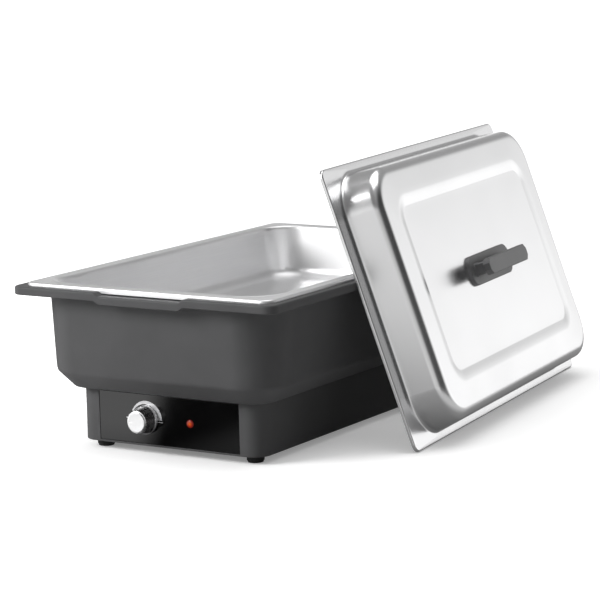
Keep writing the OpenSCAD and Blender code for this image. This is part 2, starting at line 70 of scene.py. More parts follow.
class Body(Enum):
    """The bodies of the part that pieces ride on."""

    DISH = "dish"
    KNOB = "knob"
    PAN = "food_pan"
    LID = "lid"


class Slot(Enum):
    """The material slots of the part."""

    HOUSING = "housing_plastic"
    FASTENER = "fastener_steel"
    COVER = "cover_steel"
    FOOT = "foot_rubber"
    PANEL = "panel_gloss"
    PRINT = "scale_print"
    LENS = "lens_red"
    INNER = "inner_plastic"
    BRASS = "brass"
    ELEMENT = "element_steel"
    GASKET = "gasket_rubber"
    COPPER = "copper"
    BLACK = "black_plastic"
    WIRE_BROWN = "wire_brown"
    WIRE_BLACK = "wire_black"
    WIRE_BLUE = "wire_blue"
    WIRE_GREEN = "wire_green"
    KNOB_CHROME = "knob_chrome"
    KNOB_FACE = "knob_face"
    PAN = "pan_steel"
    LID = "lid_steel"
    HANDLE = "handle_plastic"


class Ease(Enum):
    """Ways a value can run from one level to the next."""

    STRAIGHT = "LINEAR"
    SOFT = "SMOOTHSTEP"


class Sum(Enum):
    """Ways shader values can be combined."""

    ADDED = "ADD"
    MULTIPLIED = "MULTIPLY"
    LARGEST = "MAXIMUM"


@dataclass(frozen=True)
class Section:
    """One rounded-rectangle ring of a lofted piece, in millimetres."""

    width: float
    length: float
    radius: float
    height: float


@dataclass(frozen=True)
class Outline:
    """A rounded rectangle that the rings of a piece are measured from, in millimetres."""

    width: float
    length: float
    radius: float

    def ring(self, inset: float, height: float) -> Section:
        """Returns the ring that lies inside the outline by inset, at a height."""
        radius = max(self.radius - inset, LEAST_RADIUS)
        return Section(self.width - 2 * inset, self.length - 2 * inset, radius, height)

    def rings(self, profile: Iterable[Point]) -> List[Section]:
        """Returns a ring for each inset and height of a profile."""
        return [self.ring(inset, height) for inset, height in profile]


@dataclass(frozen=True)
class Area:
    """A part of the surroundings whose level changes with the distance along a side."""

    side: Triple
    levels: Span
    span: Span


def arc(centre: Point, radius: float, start: float, end: float, steps: int) -> List[Point]:
    """Lists points of a round fillet in a profile.

    Args:
        centre: Inset and height of the fillet's centre.
        radius: Radius of the fillet.
        start: First angle in degrees, from the inset direction towards up.
        end: Last angle in degrees.
        steps: Number of spans between the points.

    Returns:
        Points as inset and height.
    """
    angles = [math.radians(start + (end - start) * i / steps) for i in range(steps + 1)]
    return [(centre[0] + radius * math.cos(a), centre[1] + radius * math.sin(a)) for a in angles]


def shade(colour: Triple, factor: float) -> Colour:
    """Returns a colour made lighter or darker by a factor, with full opacity."""
    return (colour[0] * factor, colour[1] * factor, colour[2] * factor, 1.0)


class Bench:
    """Shapes one piece in edit mode, in millimetres about the piece's own axes."""

    def __init__(self, name: str) -> None:
        """Starts an empty bench.

        Args:
            name: Name of the piece.
        """
        self.name = name
        self.section = Section(0.0, 0.0, 0.0, 0.0)
        self.piece: Optional[bpy.types.Object] = None

    @staticmethod
    def clear() -> None:
        """Leaves edit mode with nothing selected."""
        if bpy.context.mode != "OBJECT":
            bpy.ops.object.mode_set(mode="OBJECT")
        bpy.ops.object.select_all(action="DESELECT")

    def hold(self) -> None:
        """Selects the piece alone, outside edit mode."""
        self.clear()
        self.piece.select_set(True)
        bpy.context.view_layer.objects.active = self.piece

    def name_piece(self) -> None:
        """Takes the active object as the piece and names it."""
        self.piece = bpy.context.object
        self.piece.name = self.name
        self.piece.data.name = self.name

    def take_up(self) -> None:
        """Names the primitive that was just added and opens it for editing, all selected."""
        self.name_piece()
        bpy.ops.object.mode_set(mode="EDIT")
        bpy.ops.mesh.select_mode(type="VERT")
        bpy.ops.mesh.select_all(action="SELECT")

    def mesh(self) -> bmesh.types.BMesh:
        """Opens the piece's mesh in edit mode.

        Returns:
            The mesh, with its index tables ready.
        """
        edited = bmesh.from_edit_mesh(self.piece.data)
        edited.verts.ensure_lookup_table()
        edited.faces.ensure_lookup_table()
        return edited

    def pick_faces(self, wanted: Callable[[Vector, Vector], bool]) -> None:
        """Selects the faces whose middle and normal pass a test.

        Args:
            wanted: Test of a face's middle in millimetres and its normal.
        """
        bpy.ops.mesh.select_mode(type="FACE")
        edited = self.mesh()
        for face in edited.faces:
            face.select_set(False)
        for face in edited.faces:
            if wanted(face.calc_center_median() / MM, face.normal):
                face.select_set(True)
        bmesh.update_edit_mesh(self.piece.data)

    def pick_points(self, indices: Iterable[int]) -> None:
        """Selects points, and the edges between them.

        Args:
            indices: Index numbers of the points.
        """
        edited = self.mesh()
        chosen = set(indices)
        for vert in edited.verts:
            vert.select = vert.index in chosen
        edited.select_flush_mode()
        bmesh.update_edit_mesh(self.piece.data)

    def picked(self) -> List[int]:
        """Returns the index numbers of the selected points."""
        return [vert.index for vert in self.mesh().verts if vert.select]

    @staticmethod
    def shift(step: Sequence[float]) -> None:
        """Moves what is selected by a step in millimetres."""
        bpy.ops.transform.translate(value=tuple(part * MM for part in step))

    def plate(self, section: Section, corner_steps: int, keep_face: bool = True) -> None:
        """Starts the piece as a rounded plate.

        Args:
            section: First ring of the piece.
            corner_steps: Spans in each round corner; one gives a cut corner.
            keep_face: Whether the plate stays closed by a face.
        """
        self.clear()
        bpy.ops.mesh.primitive_plane_add(size=1.0)
        self.take_up()
        bpy.ops.transform.resize(value=(section.width * MM, section.length * MM, 1.0))
        self.shift((0.0, 0.0, section.height))
        bpy.ops.mesh.bevel(
            offset=section.radius * MM, segments=corner_steps, affect="VERTICES", clamp_overlap=False
        )
        bpy.ops.mesh.select_all(action="SELECT")
        if not keep_face:
            bpy.ops.mesh.delete(type="ONLY_FACE")
            bpy.ops.mesh.select_all(action="SELECT")
        self.section = section

    def rise(self, section: Section) -> None:
        """Extrudes the selected rim and reshapes it, corner by corner, to the next ring.

        Args:
            section: The next ring.
        """
        bpy.ops.mesh.extrude_edges_move()
        bpy.ops.mesh.select_mode(type="VERT")
        old = self.section
        rim = self.picked()
        edited = self.mesh()
        corners: Dict[Tuple[bool, bool], List[int]] = {}
        for index in rim:
            place = edited.verts[index].co
            corners.setdefault((place.x > 0, place.y > 0), []).append(index)
        growth = section.radius / old.radius
        for (right, back), indices in corners.items():
            side = Vector((1.0 if right else -1.0, 1.0 if back else -1.0))
            before = Vector((old.width / 2 - old.radius, old.length / 2 - old.radius)) * side
            after = Vector((section.width / 2 - section.radius, section.length / 2 - section.radius)) * side
            step = after - before
            self.pick_points(indices)
            pivot = Vector((before.x, before.y, old.height)) * MM
            bpy.ops.transform.resize(value=(growth, growth, 1.0), center_override=pivot)
            self.shift((step.x, step.y, section.height - old.height))
        self.pick_points(rim)
        self.section = section

    def loft(self, sections: Sequence[Section], corner_steps: int, keep_face: bool = True) -> None:
        """Builds the whole run of rings, the first as a plate and each next one extruded from it.

        Args:
            sections: The rings in order.
            corner_steps: Spans in each round corner; one gives a cut corner.
            keep_face: Whether the first ring stays closed by a face.
        """
        self.plate(sections[0], corner_steps, keep_face)
        for section in sections[1:]:
            self.rise(section)

    def disc(self, radius: float, height: float, sides: int) -> None:
        """Starts the piece as a round disc.

        Args:
            radius: Radius of the first ring.
            height: Height of the first ring.
            sides: Number of sides.
        """
        self.clear()
        bpy.ops.mesh.primitive_circle_add(vertices=sides, radius=radius * MM, fill_type="NGON")
        self.take_up()
        self.shift((0.0, 0.0, height))
        self.section = Section(2 * radius, 2 * radius, radius, height)

    def turn(self, profile: Sequence[Point]) -> None:
        """Extrudes the selected round rim through a profile and closes the end.

        Args:
            profile: Radius and height of each next ring.
        """
        for radius, height in profile:
            bpy.ops.mesh.extrude_edges_move()
            bpy.ops.mesh.select_mode(type="VERT")
            growth = radius / self.section.radius
            pivot = (0.0, 0.0, self.section.height * MM)
            bpy.ops.transform.resize(value=(growth, growth, 1.0), center_override=pivot)
            self.shift((0.0, 0.0, height - self.section.height))
            self.section = Section(2 * radius, 2 * radius, radius, height)
        self.close()

    def block(self, size: Triple, middle: Triple, edge: float, steps: int) -> None:
        """Starts the piece as a block with rounded edges.

        Args:
            size: Width, length and height.
            middle: Place of its middle.
            edge: Width of the rounding.
            steps: Spans in each rounding.
        """
        self.clear()
        bpy.ops.mesh.primitive_cube_add(size=1.0)
        self.take_up()
        bpy.ops.transform.resize(value=tuple(part * MM for part in size))
        self.shift(middle)
        bpy.ops.mesh.bevel(offset=edge * MM, segments=steps, affect="EDGES")

    def close(self) -> None:
        """Fills the selected rim with a face and turns every face outwards."""
        bpy.ops.mesh.edge_face_add()
        self.face_out()

    @staticmethod
    def cut(place: Triple, normal: Triple) -> None:
        """Cuts the selected faces along a plane, given by a place in millimetres and its normal."""
        bpy.ops.mesh.bisect(plane_co=tuple(part * MM for part in place), plane_no=normal)

    def bridge_rims(self) -> None:
        """Joins the two open rims of the piece."""
        bpy.ops.mesh.select_mode(type="EDGE")
        bpy.ops.mesh.select_all(action="DESELECT")
        bpy.ops.mesh.select_non_manifold(extend=False)
        bpy.ops.mesh.bridge_edge_loops()

    def face_out(self, inward: bool = False) -> None:
        """Merges doubled points and makes the faces agree.

        Args:
            inward: Whether the faces of an open bowl look inwards rather than outwards.
        """
        bpy.ops.mesh.select_mode(type="VERT")
        bpy.ops.mesh.select_all(action="SELECT")
        bpy.ops.mesh.remove_doubles(threshold=MERGE_GAP)
        bpy.ops.mesh.normals_make_consistent(inside=inward)

    def modifier(self, kind: str, **settings: object) -> None:
        """Adds a modifier and applies it.

        Args:
            kind: Type of the modifier.
            settings: Values of its properties.
        """
        self.hold()
        bpy.ops.object.modifier_add(type=kind)
        added = self.piece.modifiers[-1]
        for name, value in settings.items():
            setattr(added, name, value)
        bpy.ops.object.modifier_apply(modifier=added.name)

    def thicken(self, thickness: float) -> None:
        """Gives an open sheet its thickness, behind the modelled face."""
        self.modifier("SOLIDIFY", thickness=thickness * MM, offset=-1.0, use_even_offset=True)

    def soften(self, width: float, segments: int = 2) -> None:
        """Rounds the sharp edges of the piece.

        Args:
            width: Width of the rounding.
            segments: Spans in the rounding.
        """
        self.modifier(
            "BEVEL", width=width * MM, segments=segments, limit_method="ANGLE", angle_limit=SHARP_ANGLE
        )

    def subtract(self, cutter: "Bench") -> None:
        """Cuts another piece's shape out of this one and discards that piece.

        Args:
            cutter: Bench of the piece to cut with.
        """
        cutter.clear()
        self.modifier("BOOLEAN", operation="DIFFERENCE", object=cutter.piece, solver="EXACT")
        bpy.data.objects.remove(cutter.piece)

    def copy(self, name: str) -> "Bench":
        """Copies the piece, with a mesh of its own.

        Args:
            name: Name of the copy.

        Returns:
            The bench that holds the copy.
        """
        self.hold()
        bpy.ops.object.duplicate(linked=False)
        twin = Bench(name)
        twin.name_piece()
        return twin

    def absorb(self, other: "Bench") -> None:
        """Joins another piece's mesh into this one.

        Args:
            other: Bench of the piece to join.
        """
        self.hold()
        other.piece.select_set(True)
        bpy.ops.object.join()

    def leave(self, place: Matrix) -> bpy.types.Object:
        """Ends the modelling and puts the piece where it belongs, with its place in its mesh.

        Args:
            place: Where the piece's own axes stand in the row frame.

        Returns:
            The finished object.
        """
        self.hold()
        bpy.ops.object.shade_smooth_by_angle(angle=SMOOTH_ANGLE)
        self.piece.matrix_world = place
        bpy.ops.object.transform_apply(location=True, rotation=True, scale=True)
        self.modifier("WEIGHTED_NORMAL", keep_sharp=True)
        self.clear()
        return self.piece


class Sheet:
    """Lays out the nodes of one shader tree."""

    def __init__(self, tree: bpy.types.NodeTree) -> None:
        """Starts with an empty tree."""
        self.tree = tree
        self.tree.nodes.clear()

    def add(self, kind: str, **settings: object) -> bpy.types.Node:
        """Adds a node.

        Args:
            kind: Type of the node.
            settings: Values of its properties.

        Returns:
            The node.
        """
        node = self.tree.nodes.new(kind)
        for name, value in settings.items():
            setattr(node, name, value)
        return node

    def join(self, source: Socket, target: Socket) -> None:
        """Links an output to an input."""
        self.tree.links.new(source, target)

    def combine(self, how: Sum, first: Socket, *others: Socket) -> Socket:
        """Combines values, one after the other.

        Args:
            how: Way to combine them.
            first: Output with the first value.
            others: Outputs with the next values.

        Returns:
            The output with the result.
        """
        result = first
        for other in others:
            node = self.add("ShaderNodeMath", operation=how.value)
            self.join(result, node.inputs[0])
            self.join(other, node.inputs[1])
            result = node.outputs["Value"]
        return result

    def spread(self, value: Socket, levels: Span, span: Span = MIDDLE, ease: Ease = Ease.STRAIGHT) -> Socket:
        """Stretches a value onto new levels.

        Args:
            value: Output with the value.
            levels: First and last level of the result.
            span: Values that take the first and the last level.
            ease: Way to run between the levels.

        Returns:
            The output with the result.
        """
        node = self.add("ShaderNodeMapRange", interpolation_type=ease.value)
        node.inputs["From Min"].default_value, node.inputs["From Max"].default_value = span
        node.inputs["To Min"].default_value, node.inputs["To Max"].default_value = levels
        self.join(value, node.inputs["Value"])
        return node.outputs["Result"]

    def towards(self, place: Socket, direction: Triple) -> Socket:
        """Measures how far a place or direction lies along a given direction.

        Args:
            place: Output with the place.
            direction: Direction to measure along, of any length.

        Returns:
            The output with the distance.
        """
        node = self.add("ShaderNodeVectorMath", operation="DOT_PRODUCT")
        node.inputs[1].default_value = Vector(direction).normalized()
        self.join(place, node.inputs[0])
        return node.outputs["Value"]

    def area(self, place: Socket, area: Area) -> Socket:
        """Returns the level of an area of the surroundings at a place."""
        return self.spread(self.towards(place, area.side), area.levels, area.span, Ease.SOFT)

    def blend(self, share: Socket, first: Socket, second: Socket) -> Socket:
        """Mixes two shaders.

        Args:
            share: Output with the share of the second shader.
            first: Output of the first shader.
            second: Output of the second shader.

        Returns:
            The output with the mixed shader.
        """
        node = self.add("ShaderNodeMixShader")
        self.join(share, node.inputs["Fac"])
        self.join(first, node.inputs[1])
        self.join(second, node.inputs[2])
        return node.outputs["Shader"]


class Desk(Sheet):
    """Lays out the shader nodes of one finish, on Object coordinates."""

    def __init__(self, slot: Slot) -> None:
        """Clears the material of a slot, or makes it, and adds its surface shader.

        Args:
            slot: Slot that the finish is for.
        """
        material = bpy.data.materials.get(slot.value) or bpy.data.materials.new(slot.value)
        material.use_nodes = True
        super().__init__(material.node_tree)
        self.surface = self.add("ShaderNodeBsdfPrincipled")
        output = self.add("ShaderNodeOutputMaterial")
        self.join(self.surface.outputs["BSDF"], output.inputs["Surface"])
        self.coordinates = self.add("ShaderNodeTexCoord").outputs["Object"]

    def value(self, socket: str, amount: object) -> None:
        """Sets a plain value on the surface shader's own socket."""
        self.surface.inputs[socket].default_value = amount

    def feed(self, socket: str, source: Socket) -> None:
        """Links an output to a socket of the surface shader."""
        self.join(source, self.surface.inputs[socket])

    def scaled(self, scale: Triple, turn: float) -> Socket:
        """Turns and scales Object coordinates.

        Args:
            scale: Scale along each axis.
            turn: Turn about Z in degrees.

        Returns:
            The output with the coordinates.
        """
        node = self.add("ShaderNodeMapping", vector_type="POINT")
        node.inputs["Rotation"].default_value = (0.0, 0.0, math.radians(turn))
        node.inputs["Scale"].default_value = scale
        self.join(self.coordinates, node.inputs["Vector"])
        return node.outputs["Vector"]

    def centred(self, centre: Triple, scale: float = 1.0) -> Socket:
        """Moves Object coordinates to a centre and scales them.

        Args:
            centre: New origin in metres.
            scale: Scale along every axis.

        Returns:
            The output with the coordinates.
        """
        node = self.add("ShaderNodeMapping", vector_type="POINT")
        node.inputs["Location"].default_value = tuple(-part * scale for part in centre)
        node.inputs["Scale"].default_value = (scale, scale, scale)
        self.join(self.coordinates, node.inputs["Vector"])
        return node.outputs["Vector"]

    def noise(self, scale: float, detail: float = 2.0, place: Optional[Socket] = None) -> Socket:
        """Adds a noise pattern.

        Args:
            scale: Pattern cells per metre of the given coordinates.
            detail: Layers of finer noise.
            place: Coordinates to use in place of plain Object coordinates.

        Returns:
            The output with the pattern's value.
        """
        node = self.add("ShaderNodeTexNoise")
        node.inputs["Scale"].default_value = scale
        node.inputs["Detail"].default_value = detail
        self.join(place or self.coordinates, node.inputs["Vector"])
        return node.outputs["Fac"]

    def ramp(self, value: Socket, stops: Sequence[Tuple[float, Colour]]) -> Socket:
        """Turns a value into a colour.

        Args:
            value: Output with the value.
            stops: Values with the colour that each one gets.

        Returns:
            The output with the colour.
        """
        node = self.add("ShaderNodeValToRGB")
        elements = node.color_ramp.elements
        while len(elements) < len(stops):
            elements.new(1.0)
        for element, (position, colour) in zip(elements, stops):
            element.position = position
            element.color = colour
        self.join(value, node.inputs["Fac"])
        return node.outputs["Color"]

    def tint(self, pattern: Socket, colour: Triple, shades: Span, span: Span = MIDDLE) -> None:
        """Colours the surface by a pattern.

        Args:
            pattern: Output with the pattern's value.
            colour: Colour of the finish.
            shades: Factors of the colour where the pattern is low and high.
            span: Values of the pattern that take them.
        """
        stops = [(spot, shade(colour, factor)) for spot, factor in zip(span, shades)]
        self.feed("Base Color", self.ramp(pattern, stops))

    def roughen(self, pattern: Socket, levels: Span, span: Span = MIDDLE) -> None:
        """Sets the surface's roughness by a pattern that runs between two levels."""
        self.feed("Roughness", self.spread(pattern, levels, span))

    def relief(self, pattern: Socket, depth: float, strength: float) -> None:
        """Roughens the surface's normal by a pattern.

        Args:
            pattern: Output with the height pattern.
            depth: Height of the pattern in millimetres.
            strength: Share of the effect.
        """
        node = self.add("ShaderNodeBump")
        node.inputs["Strength"].default_value = strength
        node.inputs["Distance"].default_value = depth * MM
        self.join(pattern, node.inputs["Height"])
        self.feed("Normal", node.outputs["Normal"])


class Finish(Protocol):
    """Anything that can make the surface of a material slot."""

    def dress(self, slot: Slot) -> None:
        """Builds the finish in the material of a slot."""


@dataclass(frozen=True)
class Moulded:
    """Moulded plastic or rubber with a fine eroded grain."""

    colour: Triple
    roughness: float
    grain: float
    depth: float
    mottle: float
    specular: float
    patches: float = 22.0
    layers: float = 3.0
    swing: float = 0.06
    strength: float = 0.6

    def dress(self, slot: Slot) -> None:
        """Builds the finish in the material of a slot.

        Args:
            slot: Slot of the finish.
        """
        desk = Desk(slot)
        fine = desk.noise(self.grain, self.layers)
        broad = desk.noise(self.patches, self.layers)
        desk.tint(broad, self.colour, (1.0 - self.mottle, 1.0 + self.mottle))
        desk.roughen(fine, (self.roughness - self.swing, self.roughness + self.swing))
        desk.relief(fine, self.depth, self.strength)
        desk.value("Specular IOR Level", self.specular)


@dataclass(frozen=True)
class BrushedSteel:
    """Stainless sheet with a fine brushed grain along its length and faint handling marks."""

    colour: Triple
    roughness: float
    turn: float
    depth: float
    smudge: float
    brush: Triple = (1500.0, 14.0, 1500.0)
    marks: float = 9.0
    layers: float = 4.0
    shades: Span = (0.975, 1.015)
    span: Span = (0.35, 0.65)
    streaks: Span = (-0.025, 0.025)
    strength: float = 0.5

    def dress(self, slot: Slot) -> None:
        """Builds the finish in the material of a slot.

        Args:
            slot: Slot of the finish.
        """
        desk = Desk(slot)
        lines = desk.noise(1.0, self.layers, desk.scaled(self.brush, self.turn))
        marks = desk.noise(self.marks, self.layers)
        desk.tint(lines, self.colour, self.shades, self.span)
        base = desk.spread(marks, (self.roughness - self.smudge, self.roughness + self.smudge))
        desk.feed("Roughness", desk.combine(Sum.ADDED, base, desk.spread(lines, self.streaks)))
        desk.relief(lines, self.depth, self.strength)
        desk.value("Metallic", 1.0)


@dataclass(frozen=True)
class PlainMetal:
    """Small metal parts with a cloudy plated or drawn surface."""

    colour: Triple
    roughness: float
    clouds: float = 160.0
    layers: float = 4.0
    shades: Span = (0.82, 1.05)
    smoother: float = 0.08
    rougher: float = 0.1
    grain: float = 2200.0
    depth: float = 0.01
    strength: float = 0.4

    def dress(self, slot: Slot) -> None:
        """Builds the finish in the material of a slot.

        Args:
            slot: Slot of the finish.
        """
        desk = Desk(slot)
        clouds = desk.noise(self.clouds, self.layers)
        desk.tint(clouds, self.colour, self.shades)
        desk.roughen(clouds, (self.roughness - self.smoother, self.roughness + self.rougher))
        desk.relief(desk.noise(self.grain), self.depth, self.strength)
        desk.value("Metallic", 1.0)


@dataclass(frozen=True)
class GlossPanel:
    """Back-painted gloss panel with a faint polish haze."""

    colour: Triple
    roughness: float
    specular: float
    haze: float = 30.0
    layers: float = 5.0
    shades: Span = (0.85, 1.15)
    rougher: float = 0.05
    ripple: float = 120.0
    depth: float = 0.004
    strength: float = 0.3

    def dress(self, slot: Slot) -> None:
        """Builds the finish in the material of a slot.

        Args:
            slot: Slot of the finish.
        """
        desk = Desk(slot)
        haze = desk.noise(self.haze, self.layers)
        desk.tint(haze, self.colour, self.shades)
        desk.roughen(haze, (self.roughness, self.roughness + self.rougher))
        desk.relief(desk.noise(self.ripple), self.depth, self.strength)
        desk.value("Specular IOR Level", self.specular)


@dataclass(frozen=True)
class TurnedFace:
    """Metal face with fine turned rings about the knob's axis."""

    colour: Triple
    roughness: float
    centre: Triple
    rings: float = 900.0
    waver: float = 1.5
    layers: float = 2.0
    shades: Span = (0.9, 1.04)
    smoother: float = 0.05
    rougher: float = 0.06
    depth: float = 0.01
    strength: float = 0.35

    def dress(self, slot: Slot) -> None:
        """Builds the finish in the material of a slot.

        Args:
            slot: Slot of the finish.
        """
        desk = Desk(slot)
        wave = desk.add("ShaderNodeTexWave", wave_type="RINGS", rings_direction="Y", wave_profile="SAW")
        wave.inputs["Scale"].default_value = self.rings
        wave.inputs["Distortion"].default_value = self.waver
        wave.inputs["Detail"].default_value = self.layers
        desk.join(desk.centred(self.centre), wave.inputs["Vector"])
        lines = wave.outputs["Fac"]
        desk.tint(lines, self.colour, self.shades, WHOLE)
        desk.roughen(lines, (self.roughness - self.smoother, self.roughness + self.rougher), WHOLE)
        desk.relief(lines, self.depth, self.strength)
        desk.value("Metallic", 1.0)


@dataclass(frozen=True)
class LitLens:
    """Lit pilot lens, brightest at its middle."""

    core: Triple
    edge: Triple
    centre: Triple
    reach: float
    strength: float
    dim: float = 0.1
    edge_at: float = 0.4
    core_at: float = 0.9
    speckle: float = 400.0
    roughness: Span = (0.12, 0.22)

    def dress(self, slot: Slot) -> None:
        """Builds the finish in the material of a slot.

        Args:
            slot: Slot of the finish.
        """
        desk = Desk(slot)
        ball = desk.add("ShaderNodeTexGradient", gradient_type="SPHERICAL")
        desk.join(desk.centred(self.centre, 1.0 / self.reach), ball.inputs["Vector"])
        rim = shade(self.edge, self.dim)
        stops = [(0.0, rim), (self.edge_at, shade(self.edge, 1.0)), (self.core_at, shade(self.core, 1.0))]
        desk.value("Base Color", rim)
        desk.feed("Emission Color", desk.ramp(ball.outputs["Fac"], stops))
        desk.value("Emission Strength", self.strength)
        desk.roughen(desk.noise(self.speckle), self.roughness)


@dataclass(frozen=True)
class Printed:
    """Ink printed on the panel, slightly grainy."""

    colour: Triple
    speckle: float = 2600.0
    shades: Span = (0.86, 1.0)
    span: Span = (0.3, 0.6)
    roughness: Span = (0.34, 0.46)
    metallic: float = 0.35

    def dress(self, slot: Slot) -> None:
        """Builds the finish in the material of a slot.

        Args:
            slot: Slot of the finish.
        """
        desk = Desk(slot)
        speckle = desk.noise(self.speckle)
        desk.tint(speckle, self.colour, self.shades, self.span)
        desk.roughen(speckle, self.roughness)
        desk.value("Metallic", self.metallic)


@dataclass(frozen=True)
class Levels:
    """Heights that the dish is stacked from, in millimetres."""

    gap: float = 9.0
    plinth: float = 62.0
    bevel: float = 20.0
    tub: float = 110.0
    rim: float = 9.5
    plate: float = 5.5
    seat: float = 2.5
    hem: float = 5.0
    pan: float = 65.0

    @property
    def floor(self) -> float:
        """Underside of the tub."""
        return self.gap + self.plinth

    @property
    def bevel_top(self) -> float:
        """Top of the bevel under the tub wall."""
        return self.floor + self.bevel

    @property
    def skirt(self) -> float:
        """Lower edge of the rim."""
        return self.floor + self.tub

    @property
    def rim_top(self) -> float:
        """Top of the rim."""
        return self.skirt + self.rim

    @property
    def plate_under(self) -> float:
        """Underside of the rim plate."""
        return self.rim_top - self.plate

    @property
    def seat_top(self) -> float:
        """Seat of the pan flange."""
        return self.rim_top - self.seat

    @property
    def flange(self) -> float:
        """Top of the pan flange."""
        return self.seat_top + self.hem

    @property
    def pan_floor(self) -> float:
        """Inside floor of the pan."""
        return self.flange - self.pan


LEVELS = Levels()


@dataclass(frozen=True)
class DishPlace:
    """Where the dish, its panel and the leaning lid stand in the row frame, in millimetres and degrees."""

    panel_front: float = -224.5
    axis_height: float = LEVELS.gap + LEVELS.plinth / 2
    lid_middle: Triple = (157.082, 165.255, 158.043)
    lid_lean: float = 19.4
    lid_yaw: float = 7.0

    def centre(self) -> Vector:
        """Returns the middle of the dish on the table, in metres."""
        low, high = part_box("tub_housing")
        return Vector(((low[0] + high[0]) / 2, (low[1] + high[1]) / 2, 0.0))

    def dish(self) -> Matrix:
        """Returns the place of the dish's own axes."""
        return Matrix.Translation(self.centre())

    def panel(self, across: float) -> Matrix:
        """Returns axes on the panel front whose Z points out of it, at a distance across."""
        spot = Vector((across, self.panel_front, self.axis_height)) * MM
        return Matrix.Translation(self.centre() + spot) @ Matrix.Rotation(math.radians(90.0), 4, "X")

    def lid(self) -> Matrix:
        """Finds the lid's own axes: X down its face, Y along its long edge, Z out of it.

        Returns:
            The place of the axes.
        """
        spot = self.centre() + Vector(self.lid_middle) * MM
        turn = Matrix.Rotation(math.radians(self.lid_yaw), 4, "Z")
        tip = Matrix.Rotation(math.radians(90.0 - self.lid_lean), 4, "Y")
        return Matrix.Translation(spot) @ turn @ tip


PLACE = DishPlace()


class SubAssembly:
    """What every sub-assembly of the dish does with its modelled pieces."""

    @staticmethod
    def dress(piece: bpy.types.Object, body: Body, slot: Slot, node: str) -> bpy.types.Object:
        """Gives a modelled piece its finish, its body and the node it stands for.

        Args:
            piece: Finished piece.
            body: Body that it moves with.
            slot: Material slot of its finish.
            node: Name of the node that it replaces.

        Returns:
            The same piece.
        """
        piece.data.materials.clear()
        piece.data.materials.append(bpy.data.materials[slot.value])
        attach(piece, body.value)
        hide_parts(node)
        LOG.info("%s: %d faces on %s", piece.name, len(piece.data.polygons), body.value)
        return piece


